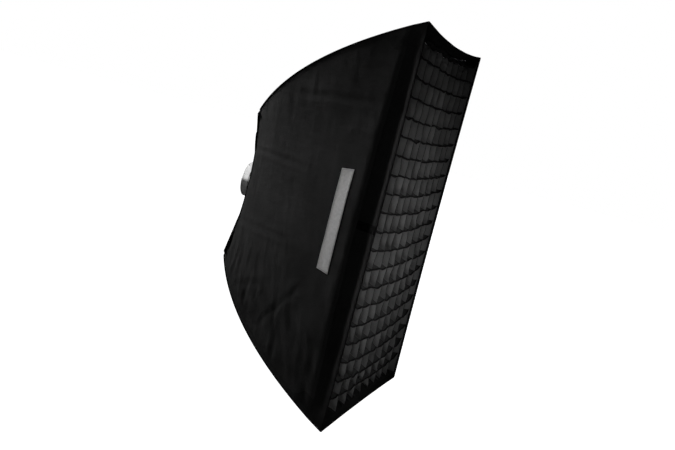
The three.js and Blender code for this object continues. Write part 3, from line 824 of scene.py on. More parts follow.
def cloth_grid(surface, wall, a, b, thickness, lift=0.0):
    """A sheet over part of a surface, with its UVs in metres, and its flat size and area."""
    outer, normal = surface(wall, *lattice(a, b), lift)
    middle = outer.shape[1] // 2
    down = distance_along(outer[:, middle])[:, None]
    over = np.cumsum(np.linalg.norm(np.diff(outer, axis=1), axis=2), axis=1)
    over = np.hstack([0 * down, over])
    uv = stacked(over - over[:, [middle]], down)
    corner = outer[:-1, :-1]
    area = np.sum(np.linalg.norm(np.cross(outer[1:, :-1] - corner, outer[:-1, 1:] - corner), axis=2))
    return slab(outer, outer - normal * thickness, uv), (down[-1, 0], over[:, -1].max()), area


def add_sheet(name, node, cloth, looks, crisp=60):
    """Adds a sheet and works out the longest width and length of its pattern, and its area, which are not
    used.
    """
    shape, flat, area = cloth
    piece = add_piece(name, shape, looks, [node], crisp=crisp)
    width, length = (round(float(side), 3) for side in flat)
    area = min(max(float(area), 0.31 * width * length), width * length)


# ---------------------------------------------------------------- shell


def add_walls():
    """Each side's panel, lip and rear flap, with their stitching and bound edges."""
    rods = ["rod_1_bent", "rod_2_bent", "rod_3_bent", "rod_4_bent"]
    lined = ["shell", "lining"]
    thread, tape = [], []
    for wall in WALLS:
        name = wall.name
        across = dense(-1, 1, 141 if wall.upright else 109, 1.25)
        # A lip's inner faces take the near-black painted shade.
        for piece, node, surface, a, b, looks, rests_on in (
            ("wall", "panel", on_panel, dense(0, 1, 97), across, lined, rods),
            ("front_lip", "lip", on_lip, dense(0, 1, 15), across, ["lip", "crate_painted_shade"], [f"{name}_wall"]),
            ("flap", "rear_flap", on_flap, dense(0, 1, 33), dense(-1, 1, 81), lined, [f"{name}_wall"]),
        ):
            cloth = cloth_grid(surface, wall, a, b, CLOTH)
            add_sheet(f"{name}_{piece}", f"{name}_{node}", cloth, looks)
        thread += wall_stitches(wall)
        v = np.linspace(-0.996, 0.996, 150)
        tape.append(ribbon(*on_flap(wall, 0.004, v, -0.3 * MM), 6.5 * MM, 1.3 * MM))
        path, normal = on_lip(wall, 1.0, v, -CLOTH / 2)
        tape.append(sweep(path, circle(1.6 * MM, 10, 0.95), beside(path, normal), normal))
    add_piece("shell_stitching", merged(*thread), "thread")
    add_piece("shell_bindings", merged(*tape), "tape")


def wall_stitches(wall):
    """Top-stitching beside each ridge, the crease, the front hem and the rear edge."""
    rows = []
    s, v, q = np.linspace(0.01, 0.985, 160), np.linspace(-0.985, 0.985, 260), np.linspace(0.03, 0.96, 60)
    half = ridge(s)[..., 0] * wall.along
    for side in (-1, 1):
        for inset in (0.0075, 0.0165):
            rows.append(sew(on_panel, wall, s, side * (1 - inset / half)))
    for surface, at in ((on_panel, 0.987), (on_panel, 0.012), (on_lip, 0.10), (on_lip, 0.93), (on_lip, 0.50)):
        rows.append(sew(surface, wall, at, v))
    middle, edge = (flap_base(wall, q, np.full_like(q, at)) for at in (0.0, 0.999))
    width = 2 * np.linalg.norm(edge - middle, axis=1)
    return rows + [sew(on_flap, wall, q, side * (1 - 0.022 / width)) for side in (-1, 1)]


def rod_plane(sign_x, sign_z):
    """Takes the plane of +X and Y to the plane of a rod."""
    x, z = sign_x * SHARE_X, sign_z * SHARE_Z
    return Matrix(((x, 0, -z, 0), (0, 1, 0, 0), (z, 0, x, 0), (0, 0, 0, 1)))


ROD_PLANES = [rod_plane(*corner) for corner in CORNERS]


def add_ridges():
    """Piping over each rod, from the rear corner to the front one."""
    t = np.linspace(0.1, 0.985, 8)[:, None]
    front = np.array([HALF_DIAGONAL, FRONT_Y])
    line = np.vstack([ridge(np.linspace(0, 1, 70)), RIDGE[2] * (1 - t) + front * t])
    piping = tube(stacked(line[:, 0] - 0.8 * MM, line[:, 1], 0.0), 2.1 * MM, 12)
    add_piece("ridge_piping", merged(*(moved(piping, plane) for plane in ROD_PLANES)), "tape")


def add_corner_caps():
    """A sewn patch on each side of each front corner, over the lip and the end of the panel."""
    length, thickness, lift, start, end = 0.058, 0.9 * MM, 1.0 * MM, 0.905, 0.9985
    caps, thread = [], []
    for wall in WALLS:
        half = RIDGE_END * wall.along
        reach = length / half
        for side in (-1, 1):
            v = side * np.linspace(1 - reach, end, 14)
            caps.append(cloth_grid(on_lip, wall, np.linspace(0.03, 0.975, 9), v, thickness, lift)[0])
            s, share = lattice(np.linspace(start, 0.999, 12), np.linspace(0, 1, 14))
            taper = ease((s - start) / 0.05) * 0.55 + 0.45
            v = side * (end - (1 - share) * reach * taper)
            outer, normal = on_panel(wall, s, v, lift)
            caps.append(slab(outer, outer - normal * thickness, stacked(v * half, s * PANEL_DEPTH)))
            for surface, a, b in (
                (on_lip, np.linspace(0.06, 0.94, 20), 1 - reach * 0.93),
                (on_panel, np.linspace(0.915, 0.99, 24), 1 - reach * 0.40),
                (on_panel, 0.982, np.linspace(1 - reach * 0.9, 0.99, 20)),
            ):
                thread.append(sew(surface, wall, a, side * b, lift + 0.1 * MM))
    add_piece("corner_caps", merged(*caps), "lip")
    add_piece("corner_cap_stitching", merged(*thread), "thread")


def add_rear_closures():
    """Hook-and-loop closures over the four rear seams, and the gathered elastic round the hole."""
    reach = np.linspace(0.070, 0.292, 40)
    t = (RIDGE[0, 0] - reach) / (RIDGE[0, 0] - HOLE_RADIUS)
    path = stacked(reach, RIDGE[0, 1] * (1 - t) + HOLE_Y * t + 0.7 * MM, 0.0)
    tab = path[10:26] + [0, 1.4 * MM, 4 * MM]
    tab[:, 1] += 1.2 * MM * np.sin(np.linspace(0, 3.0, 16))
    parts = {
        "rear_seam_closures": ("tape", [ribbon(path, REAR, 26 * MM, 1.4 * MM)]),
        "rear_closure_tabs": ("pile", [ribbon(tab, REAR, 20 * MM, 1.8 * MM)]),
        "rear_closure_stitching": (
            "thread", [stitches(path + [0, 1.6 * MM, offset * MM], REAR) for offset in (-10.8, 10.8)]),
    }
    for name, (look, shapes) in parts.items():
        add_piece(name, merged(*(moved(shape, plane) for plane in ROD_PLANES for shape in shapes)), look)

    low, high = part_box("collar_cuff")
    outer, inner = high[0], HOLE_RADIUS - 4.5 * MM

    def puckers(angle, radius, height):
        wave = 1.1 * MM * np.sin(46 * angle + 0.8 * np.sin(5 * angle)) + 0.5 * MM * np.sin(17 * angle)
        return radius + wave * (radius > (inner + outer) / 2)

    cuff = ring(inner, outer, low[1], high[1], 368, 1.2 * MM, puckers)
    add_piece("collar_elastic", cuff, "elastic", ["collar_cuff"], crisp=60)


def add_label():
    """A label without text, on the left panel."""
    s_low, s_high, v_low, v_high = 0.845, 0.915, -0.300, 0.270
    cloth = cloth_grid(on_panel, LEFT, np.linspace(s_low, s_high, 13), np.linspace(v_low, v_high, 61),
                       0.8 * MM, 1.1 * MM)
    add_sheet("blank_label", "label_patch", cloth, ["label", "label"], 50)
    s_low, s_high = s_low + 0.0045, s_high - 0.0045
    v_low, v_high = v_low + 0.006, v_high - 0.006
    across, along = np.linspace(s_low, s_high, 20), np.linspace(v_low, v_high, 120)
    size = {"lift": 1.3 * MM, "pitch": 3.0 * MM, "length": 2.2 * MM, "radius": 0.35 * MM}
    rows = [sew(on_panel, LEFT, s, along, **size) for s in (s_low, s_high)]
    rows += [sew(on_panel, LEFT, across, v, **size) for v in (v_low, v_high)]
    add_piece("label_stitching", merged(*rows), "thread")


def add_lip_tab(wall):
    """A short webbing loop across a long lip, sewn with a box stitch at its rear end."""
    name, width, thickness, seam = f"{wall.name}_pull_tab", 25.2 * MM, 1.3 * MM, 10.5 * MM
    q = np.linspace(0.03, 0.985, 20)
    path, normal = on_lip(wall, q, 0.0, 0.6 * MM)
    path = path + normal * (1.6 * MM * np.sin(np.pi * np.clip((q - 0.3) / 0.6, 0, 1)))[:, None]
    side = beside(path, normal)
    back = ribbon(*on_lip(wall, np.linspace(0.66, 0.985, 8), 0.0, -CLOTH - 1.6 * MM), width, thickness)
    axes = Matrix((side[-1], REAR, normal[-1])).transposed().to_4x4()
    axes.translation = Vector(path[-1] + [0, -0.8 * MM, 0] - normal[-1] * 1.2 * MM)
    wrap = moved(cuboid((width, 2.2 * MM, 5.8 * MM), (0, 0, 0), 0.6 * MM), axes)
    shape = merged(ribbon(path, normal, width, thickness), back, wrap)
    add_piece(name, shape, "tape", [f"{wall.name}_lip_tab"], crisp=50)
    box, out, beyond = path[1:9], normal[1:9] * 1.4 * MM, side[1:9] * seam
    mix = np.linspace(0, 1, 8)[:, None]
    rows = [stitches(box + beyond * sign + out, normal[1:9]) for sign in (-1, 1)]
    for k in (0, 7):
        rows.append(stitches(box[k] + out[k] + beyond[k] * (2 * mix - 1), normal[k + 1]))
    for sign in (-1, 1):
        line = box[0] * (1 - mix) + box[7] * mix + beyond[0] * sign * (1 - 2 * mix) + out[3]
        rows.append(stitches(line, normal[4]))
    add_piece(f"{name}_stitching", merged(*rows), "thread")


# ---------------------------------------------------------------- front cloths and egg crate

GRID_LOW, GRID_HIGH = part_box("egg_crate_grid")
GRID_X, GRID_Z = GRID_HIGH[0], GRID_HIGH[2]
GRID_FRONT, GRID_REAR = GRID_LOW[1], GRID_HIGH[1]
GRID_DEPTH = GRID_REAR - GRID_FRONT
GRID_BOW_X, GRID_BOW_Z = 0.022, 0.0132
COLUMNS, ROWS = 9, 20
CELLS_X, CELLS_Z = 0.408, 0.562  # half of what the cells cover
SLAT = 1.1 * MM
DEPTH_STEPS = np.array([0, 0.2, 0.35, 0.5, 0.65, 0.8, 0.9, 0.95, 0.975, 1.0])


def bowed(u, v, half_x, half_z, bow_x, bow_z):
    return u * (half_x - bow_x * (1 - v * v)), v * (half_z - bow_z * (1 - u * u))


def add_diffuser(name, node, bow_x, bow_z, billow, look, seed):
    """A flat cloth with drawn-in edges, gently billowing, and its bound edge."""
    low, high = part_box(node)
    y = (low[1] + high[1]) / 2
    size = (high[0], high[2], bow_x, bow_z)
    u, v = lattice(dense(-1, 1, 61, 1.2), dense(-1, 1, 81, 1.2))
    x, z = bowed(u, v, *size)
    free = ease((1 - np.abs(u)) / 0.15) * ease((1 - np.abs(v)) / 0.12)
    pull = noise2(u * 9, v * 11, seed) * np.exp(-4 * np.minimum(1 - np.abs(u), 1 - np.abs(v)))
    swell = 0.8 * (1 - u * u) * (1 - v * v) + 0.25 * noise2(u * 2, v * 2.4, seed + 1)
    outer = stacked(x, y - 0.5 * MM - (billow * swell + 1.2 * MM * pull) * free, z)
    shape = slab(outer, outer + [0, 1.0 * MM, 0], stacked(x, z))
    sheet = add_piece(name, shape, [look, look], [node], crisp=60)
    edge = np.linspace(-1, 1, 60)[:-1]
    full = np.ones(len(edge))
    x, z = bowed(0.992 * np.concatenate([edge, full, -edge, -full]),
                 0.994 * np.concatenate([-full, edge, full, -edge]), *size)
    path = stacked(x, y - 0.3 * MM, z)
    tangent = unit(np.roll(path, -1, axis=0) - np.roll(path, 1, axis=0))
    section = tape_section(11 * MM, 2.2 * MM) - [0, 1.1 * MM]
    binding = sweep(path, section, unit(np.cross(tangent, REAR)), (0, -1.0, 0), True)
    hem = add_piece(f"{name}_binding", binding, "white_tape")


def slump(x, z, front):
    """How far the slack grid hangs from its true lattice, at depth share front."""
    down = (CELLS_Z - z) / (2 * CELLS_Z)
    hold = ease((CELLS_Z + z) / 0.11) * ease((CELLS_Z - z + 0.02) / 0.07)
    to_side = (CELLS_X - np.abs(x)) / 0.05
    sag = (0.007 + 0.015 * down) * (1 - (x / CELLS_X) ** 2)
    drift = 0.012 * down * ease(to_side + 0.4)
    ripple = 0.0026 * noise2(x / 0.047 + 5, z / 0.0562, 71)
    side = 0.0042 * noise2(x / 0.0907 + 9, z / 0.083, 72) * ease(to_side)
    loose = 0.35 + 0.65 * front
    return side * loose, (ripple - (sag + drift) * hold) * loose


def grid_tuck(wall, v, depth):
    """How far the fold in the lip pushes the grid's border inward."""
    ahead = FRONT_Y + lip_length(wall, v) - (GRID_REAR - GRID_DEPTH * depth)
    return 1.05 * valley(wall, np.clip(v, -1, 1), ahead)


def grid_hang(wall, v):
    """How far the grid's top edge has slipped down from the lip, between the loops that hold it."""
    if wall is not TOP:
        return 0.0 * v
    return (0.017 + 0.006 * noise2(v * 7, 1.0, 77)) * ease((1 - np.abs(v)) / 0.08)


def slat(centre, across, hem, swell):
    """A strip of cloth about a grid of centre points. Its hem, as many steps deep, and its edges take the
    second look, a painted shade.
    """
    depth = np.broadcast_to(DEPTH_STEPS, centre.shape[:2])
    half = SLAT / 2 + swell * (bell((1 - depth) / 0.075) - 0.6 * (depth == 1.0))
    offset = np.asarray(across) * half[..., None]
    uv = stacked(distance_along(centre[:, 0])[:, None], depth * GRID_DEPTH)
    points, faces, uvs, _ = slab(centre + offset, centre - offset, uv)
    steps = len(DEPTH_STEPS) - 1
    # Painted shade: the hem's last steps on both faces, and every edge face, take the near-black second look.
    painted_shade_faces = [int(face % steps >= steps - hem) for face in range(2 * steps * (len(centre) - 1))]
    return points, faces, uvs, painted_shade_faces + [1] * (len(faces) - len(painted_shade_faces))


def slat_line(offset, half, bow, other_half, cells, count, points_per_cell, random):
    """Points along a slat in depth steps, each one's place in its cell (0 to 1), a function that
    gives a random value to each cell, and one that draws both ends in by a tuck."""
    limit = half - bow * (1 - (offset / other_half) ** 2) - 1.2 * MM
    at = np.linspace(-limit, limit, points_per_cell * count + 5)
    share = (at + cells) * count / (2 * cells)
    cell = np.clip(np.floor(share).astype(int), 0, count - 1)
    along, depth = lattice(at, DEPTH_STEPS)

    def per_cell(low, high):
        return random.uniform(low, high, count)[cell][:, None]

    def tucked(tuck):
        return along - np.sign(along) * tuck * ease((np.abs(along) - limit + 0.045) / 0.045)

    return along, depth, np.clip(share - cell, 0, 1)[:, None], per_cell, tucked


def slat_y(x, z, depth, seed):
    """Depth places on a slat whose front edge is slack and wavy between the crossings."""
    wave = np.abs(noise2(x / 0.041, z / 0.037, seed))
    droop = ease((z - CELLS_Z + 0.030) / 0.034) * (0.017 + 0.006 * noise2(x / 0.05, 3.0, seed))
    return GRID_REAR + (GRID_FRONT + 0.0035 * wave + droop - GRID_REAR) * depth


def column_slat(x, random):
    line = slat_line(x, GRID_Z, GRID_BOW_Z, GRID_X, CELLS_Z, ROWS, 8, random)
    z, depth, t, per_cell, tucked = line
    arch = np.sin(np.pi * t)
    belly = (per_cell(-0.0042, 0.0042) - 0.0015) * arch
    curl = per_cell(0.0020, 0.0068) * arch ** 0.6
    twist = per_cell(-0.0030, 0.0030) * np.sin(2 * np.pi * t)
    dx, dz = slump(np.full_like(z, x), z, depth)
    push = belly * (0.35 + 0.65 * depth) + twist * (depth - 0.3)
    push = push - curl * np.sin(np.pi * np.clip((depth - 0.2) / 0.8, 0, 1))
    share = np.full_like(z, x / GRID_X)
    z = tucked(grid_tuck(TOP, share, depth) + (z > 0) * grid_hang(TOP, share) * ease(depth / 0.7))
    return slat(stacked(x + dx + push, slat_y(x, z, depth, 73), z + dz), (1.0, 0, 0), 1, 0.8 * MM)


def row_slat(z, random):
    line = slat_line(z, GRID_X, GRID_BOW_X, GRID_Z, CELLS_X, COLUMNS, 9, random)
    x, depth, t, per_cell, tucked = line
    droop = per_cell(-0.0045, 0.0010) * np.sin(np.pi * t)
    dx, dz = slump(x, np.full_like(x, z), depth)
    x = tucked(grid_tuck(LEFT, z / GRID_Z, depth))
    centre = stacked(x + dx, slat_y(x, z, depth, 74), z + dz + droop * (0.3 + 0.7 * depth))
    return slat(centre, (0, 0, 1.0), 3, 2.2 * MM)


def add_egg_crate():
    """The slack grid: rows that sag, in the darker lip nylon with painted shade on their hems, pale columns
    that curl with painted shade on their hems, and a hemmed border mostly in painted shade.
    """
    random = np.random.default_rng(5)
    columns = [column_slat(k * 2 * CELLS_X / COLUMNS - CELLS_X, random) for k in range(1, COLUMNS)]
    rows = [row_slat(k * 2 * CELLS_Z / ROWS - CELLS_Z, random) for k in range(1, ROWS)]
    held = ["egg_crate_border"]
    for name, shapes, looks, nodes, length, rests_on in (
        ("egg_crate_rows", rows, ["lip", "crate_painted_shade"], ["egg_crate_grid"], (ROWS - 1) * 2 * CELLS_X, held),
        ("egg_crate_columns", columns, ["crate", "crate_painted_shade"], (), (COLUMNS - 1) * 2 * GRID_Z, held),
        ("egg_crate_border", border_strips(), ["crate_painted_shade", "crate"], (), 4 * (GRID_X + GRID_Z),
         ["left_front_lip"]),
    ):
        piece = add_piece(name, merged(*shapes), looks, nodes, crisp=60)


def border_point(wall, v, depth, inset):
    half, bow, other = (GRID_X, GRID_BOW_X, GRID_Z) if wall.upright else (GRID_Z, GRID_BOW_Z, GRID_X)
    tuck = grid_tuck(wall, v, depth) + grid_hang(wall, v) * ease(depth / 0.7)
    ripple = 0.7 * MM * noise2(v * 16, depth * 2, wall.seed + 12) * ease((1 - np.abs(v)) / 0.05)
    across = half - 0.6 * MM - bow * (1 - v * v) - tuck - inset + ripple
    return wall.place(across, v * (other - 1.0 * MM), GRID_REAR - GRID_DEPTH * depth)


def border_strips():
    strips = []
    v, depth = lattice(np.linspace(-0.998, 0.998, 121), np.linspace(0, 1, 9))
    for wall in WALLS:
        uv = stacked(v * (GRID_Z if wall.upright else GRID_X), depth * GRID_DEPTH)
        outer, inner = (border_point(wall, v, depth, inset) for inset in (0.0, 1.4 * MM))
        points, faces, uvs, index = slab(outer, inner, uv)
        # Painted shade: the top and bottom strips are near-black all over, the side strips on all but their
        # faces towards the cells.
        strips.append((points, faces, uvs, index if wall.upright else None))
    return strips


def add_crate_trim():
    """The border's stitching, its hook-and-loop tape and the tabs that hang it in the lip."""
    count, start = 12, 0.55
    tapes, tabs, thread = [], [], []
    random = np.random.default_rng(9)
    for wall in WALLS:
        inward = wall.place(-1.0, 0.0, 0.0)
        line = np.linspace(-0.985, 0.985, 140)
        for share in (0.12, 0.9):
            thread.append(stitches(border_point(wall, line, np.full_like(line, share), 1.5 * MM), inward))
        path, normal = on_lip(wall, 0.52, np.linspace(-0.975, 0.975, 150), -CLOTH)
        tapes.append(ribbon(path, -normal, 25 * MM, 1.3 * MM))
        for k in () if wall.upright else range(count):
            middle = (k + 0.5 + random.uniform(-0.22, 0.22)) / count * 2 - 1
            width = random.uniform(0.010, 0.017) / GRID_X
            v, depth = lattice(middle + width * np.linspace(-0.5, 0.5, 6), np.linspace(start, 1.0, 7))
            curl = 3.5 * MM * random.uniform(0.3, 1.0) * np.sin(np.pi * (depth - start) / (1 - start))
            curl = curl * (1 + 0.5 * np.sin(9 * v))
            tab = border_point(wall, v, depth, 1.8 * MM) + inward * curl[..., None]
            tabs.append(slab(tab + inward * 0.9 * MM, tab, stacked(v, depth * GRID_DEPTH)))
    add_piece("lip_loop_tape", merged(*tapes), "pile")
    add_piece("crate_hook_tabs", merged(*tabs), ["elastic", "elastic"], crisp=60)
    add_piece("crate_stitching", merged(*thread), "thread")


def add_straps():
    """Elastic straps from the baffle's corners to the rods, each with a steel eye at its end."""
    low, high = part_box("inner_baffle")
    y, start, end = (low[1] + high[1]) / 2, math.hypot(high[0], high[2]), 0.553
    reach = np.linspace(start + 0.6 * MM, end - 6 * MM, 24)
    path = stacked(reach, y + 0.9 * MM * np.sin(reach * 160), 0.0)
    patch = ribbon(path[:6] - [22 * MM, 0, 0], REAR, 22 * MM, 1.8 * MM, 0.9 * MM)
    strap = merged(ribbon(path, REAR, 12 * MM, 1.6 * MM, 0.8 * MM), patch)
    for number, plane in enumerate(ROD_PLANES, 1):
        add_piece(f"baffle_elastic_{number}", moved(strap, plane), "elastic", [f"baffle_strap_{number}"])
    angle = np.linspace(0, 2 * np.pi, 28, endpoint=False)
    eye = polar(4.5 * MM, angle, y) + [end - 6.2 * MM, 0, 0]
    eye = tube(eye, 0.9 * MM, 8, REAR, closed=True)
    add_piece("strap_hooks", merged(*(moved(eye, plane) for plane in ROD_PLANES)), "steel")


# ---------------------------------------------------------------- rods

TO_METRES = Matrix.Scale(MM, 4)  # hard parts are built in millimetres
ROD_RADIUS = 4.0
ROD_SINK, TIP_SINK = 0.012, 0.006  # the rod's depth under the ridge, and how much deeper its tip lies
ROD_ROOT, FERRULE_END = np.array([0.080, -0.050]), np.array([0.268, -0.070])
ROD_SLOPE = unit(FERRULE_END - ROD_ROOT)
FERRULE_LENGTH = float(np.linalg.norm(FERRULE_END - ROD_ROOT)) / MM
FERRULE_HOLD = 34.0  # how deep the ferrule's bore takes the rod


def rod_path(steps=8):
    """Centre line in the plane of +X and Y: straight in its ferrule, then bent under the ridge."""
    points = [FERRULE_END - ROD_SLOPE * 0.030, FERRULE_END]
    for s in (0.25, 0.4, 0.55, 0.7, 0.85, 0.96):
        slope = ridge_slope(s)
        points.append(ridge(s) + np.array([slope[1], -slope[0]]) * (ROD_SINK + TIP_SINK * s * s))
    points = [2 * points[0] - points[1], *points, 2 * points[-1] - points[-2]]
    path = []
    for p0, p1, p2, p3 in zip(points, points[1:], points[2:], points[3:]):
        d0, d1, d2 = (np.linalg.norm(b - a) ** 0.5 for a, b in ((p0, p1), (p1, p2), (p2, p3)))
        m1 = ((p1 - p0) / d0 - (p2 - p0) / (d0 + d1) + (p2 - p1) / d1) * d1
        m2 = ((p2 - p1) / d1 - (p3 - p1) / (d1 + d2) + (p3 - p2) / d2) * d1
        for t in np.linspace(0, 1, steps, endpoint=False):
            near, far = 2 * t ** 3 - 3 * t * t + 1, 3 * t * t - 2 * t ** 3
            path.append(near * p1 + (t ** 3 - 2 * t * t + t) * m1 + far * p2 + (t ** 3 - t * t) * m2)
    path = np.array([*path, points[-2]])
    return stacked(path[:, 0], path[:, 1], 0.0)


def aimed(shape, place, slope):
    """Puts a part turned about Y at a place in a rod's plane, pointing along a slope in it."""
    turn = Matrix.Rotation(math.atan2(slope[1], slope[0]) - math.pi / 2, 4, "Z")
    return moved(shape, shift(*place) @ turn @ TO_METRES)


def ferrule_shape():
    radius, bore, length = 5.5, ROD_RADIUS + 0.3, FERRULE_LENGTH
    crimp = [(radius - 0.6 * (k % 2), length - 30 + 2.2 * k) for k in range(9)]
    return lathe([(0, 0), (radius, 0), *crimp, (radius, length - 1), (radius - 0.8, length),
                  (bore, length), (bore, length - FERRULE_HOLD), (0, length - FERRULE_HOLD)], 48, 0.3)


def tip_shape():
    """A plastic cap over the rod's end, with a groove round it and a blunt nose."""
    radius = 5.2
    return lathe([(0, 0.3), (radius - 0.6, 0.3), (radius, 1.5), (radius, 4.5), (radius - 0.5, 5.2),
                  (radius, 5.9), (radius, 8), (4, 11), (0, 12.5)], 40, 0.6)


def pocket_shape():
    """The webbing pocket sewn round the tip, open at its rear end."""
    bore, radius = 5.8, 7.2

    def folded(angle, r, height):
        return r + 0.35 * np.sin(9 * angle + 0.3 * height) * (r > radius - 1)

    return lathe([(bore, -14), (radius, -14), (radius, -8), (radius - 0.4, -7), (radius, -6), (radius, 14),
                  (4, 15.5), (0, 15.5), (0, 13), (4.4, 13), (bore, 9.5)], 72, 0.6, folded)


def sleeve_shape():
    outer = ROD_RADIUS + 0.9
    return lathe([(ROD_RADIUS, -4), (outer, -3.5), (outer, 3.5), (ROD_RADIUS, 4)], 32, 0.3)


def add_rods():
    path = rod_path()
    end, tip_slope = path[-1, :2], unit(path[-1, :2] - path[-2, :2])
    parts = (
        ("rod_{}_bent", tube(path, ROD_RADIUS * MM, 20), "rod", "rod_{}"),
        ("ferrule_{}_crimped", aimed(ferrule_shape(), ROD_ROOT, ROD_SLOPE), "steel", "rod_ferrule_{}"),
        ("tip_{}_cap", aimed(tip_shape(), end, tip_slope), "polymer", "rod_tip_{}"),
        ("pocket_{}_sewn", aimed(pocket_shape(), end, tip_slope), "tape", "corner_pocket_{}"),
        ("rod_{}_sleeve", aimed(sleeve_shape(), FERRULE_END + ROD_SLOPE * 4.6 * MM, ROD_SLOPE), "rubber", ""),
    )
    for number, plane in enumerate(ROD_PLANES, 1):
        for name, shape, look, node in parts:
            nodes = [node.format(number)] if node else ()
            add_piece(name.format(number), moved(shape, plane), look, nodes)


# ---------------------------------------------------------------- hardware, built in millimetres


def spans(node):
    """How far a CAD node reaches along X, Y and Z, in millimetres."""
    return np.round(np.transpose(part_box(node)) / MM, 3)


TO_Z = Matrix.Rotation(math.pi / 2, 4, "X")  # a part turned about Y becomes one turned about Z
GAP = 0.3  # between pieces that touch
COLLAR_BORE, NECK, SEAT = 53.0, 56.0, 57.5  # the collar's radii inside, on its neck and on its rear seat
FLANGE = spans("head_collar")[0, 1]
NECK_FRONT, SEAT_FRONT = -74.0, -5.0
WINDOWS = [30 + 60 * k for k in range(6)]  # degrees round the collar
WINDOW_Y, WINDOW_HEIGHT, WINDOW_WIDTH = -18.0, 18.0, 16.0
BOLT_X, BOLT_Y, _ = spans("draw_bolt").mean(axis=1)
BOLT_RADIUS = 3.0
BARREL_Z = spans("lever_pivot_barrel")[2].mean()
CAM_RADIUS, CAM_OFFSET = 7.0, 0.9  # the cam's centre lies this far from the barrel's
KNOB_Y = spans("lock_knob")[1].mean()
RING_LOW, RING_HIGH = spans("rod_ring")[1]
LINE_UP = shift(BOLT_X, BOLT_Y) @ TO_Z  # puts a part turned about Y on the bolt's axis


def add_hard(name, shape, look, nodes, body):
    add_piece(name, moved(shape, TO_METRES), look, nodes, body, 32.0)


def screw_thread(radius, depth, start, count, pitch=0.5):
    """The zigzag of a thread's outline."""
    return [(radius - depth * (k % 2), start + pitch * k) for k in range(count)]


def bar_section(width, thickness, chamfer):
    w, t, c = width / 2, thickness, chamfer
    return np.array([(-w, c), (-w + c, 0), (w - c, 0), (w, c), (w, t - c), (w - c, t), (-w + c, t),
                     (-w, t - c)])


def screw_head(radius, height):
    """A pan head with a hexagon recess, seated at the origin and facing +Y."""
    recess = 0.42 * radius

    def hexagon(angle, r, y):
        corner = np.cos(math.pi / 6) / np.cos((angle % (math.pi / 3)) - math.pi / 6)
        return np.where(r < recess * 1.05, r * corner, r)

    return lathe([(0, -0.5), (radius, -0.5), (radius, 0.55 * height), (0.72 * radius, height),
                  (recess, height), (recess, 0.35 * height), (0, 0.35 * height)], 36, 0.12, hexagon)


def add_collar():
    """The turned collar with six windows and two grooves."""
    front = spans("head_collar")[1, 0]
    collar = lathe([(COLLAR_BORE, front), (FLANGE, front), (FLANGE, NECK_FRONT), (NECK, NECK_FRONT),
                    (NECK, SEAT_FRONT), (SEAT, SEAT_FRONT), (SEAT, 0), (COLLAR_BORE, 0)], 144, 0.8)
    for degrees in WINDOWS:
        window = bevelled(cuboid((14, WINDOW_HEIGHT, WINDOW_WIDTH), (NECK, WINDOW_Y, 0), 0), 1.6, 3)
        collar = boolean(collar, turned(window, degrees))
    for groove in (-77.2, -80.8):
        collar = boolean(collar, ring(FLANGE - 0.7, FLANGE + 2, groove - 0.5, groove + 0.5, 144, 0))
    add_hard("collar_turned", collar, "bright", ["head_collar"], "adapter")


def add_grip():
    """The ribbed rubber grip inside the collar, with a pad that fills each window."""
    bore, plain, outer = 50.5, 50.8, COLLAR_BORE - GAP
    low, high = spans("grip_liner")[1]
    pitch, ribs = 4.4, []
    for y in low + 4.7 + pitch * np.arange(8)[::-1]:
        ribs += [(bore, y), (bore, y - 2.6), (bore + 0.6, y - 3.0), (bore + 0.6, y - 4.0)]
    liner = lathe([(outer, high), (plain, high), *ribs, (plain, low), (outer, low)], 144, 0.15)
    pad = cuboid((4.6, WINDOW_HEIGHT - 2 * GAP, WINDOW_WIDTH - 2 * GAP), (53.6, WINDOW_Y, 0), 0.8)
    pads = [turned(pad, degrees) for degrees in WINDOWS]
    add_hard("collar_grip", merged(liner, *pads), "rubber", ["grip_liner"], "adapter")


def add_ring_seat():
    """The nylon ring that the rod ring glides on, and the clip that keeps it on the collar."""
    glide = ring(NECK + GAP, FLANGE, *spans("thrust_ring")[1], 144, 0.3)
    add_hard("glide_ring", glide, "nylon", ["thrust_ring"], "adapter")
    low, high = spans("retaining_ring")[1]
    angle = np.radians(np.linspace(98, 442, 150))
    clip = [sweep(polar(59.2, angle, low), bar_section(5.6, high - low, 0.3), polar(1, angle, 0.0), REAR)]
    for end in np.radians([96.5, 443.5]):
        eye = ring(0.9, 2.6, low, high, 32, 0.25)
        clip.append(moved(eye, shift(*polar(59.4, end, 0))))
    add_hard("retaining_clip", merged(*clip), "steel", ["retaining_ring"], "adapter")


def add_band():
    """The split band that grips the lamp head, with a lug for the bolt on each side of its gap."""
    (_, tip), (low, high), _ = spans("clamp_band")
    root, near, far = NECK + 1, 8, 14  # where a lug starts along X, and its two faces along Z
    gap = math.asin(near / (NECK + 1.6))
    angle = np.linspace(gap, 2 * math.pi - gap, 180)
    section = bar_section(high - low, 2.7, 0.5)
    band = [sweep(polar(NECK + GAP, angle, BOLT_Y), section, REAR, polar(1, angle, 0.0))]
    hole = ring(0, BOLT_RADIUS + 0.4, -10, 10, 40, 0)
    for z in (-(near + far) / 2, (near + far) / 2):
        lug = cuboid((tip - root, high - low, far - near), ((root + tip) / 2, BOLT_Y, z), 1.2)
        band.append(boolean(lug, moved(hole, shift(0, 0, z) @ LINE_UP)))
    add_hard("band_split", merged(*band), "bright", ["clamp_band"], "adapter")


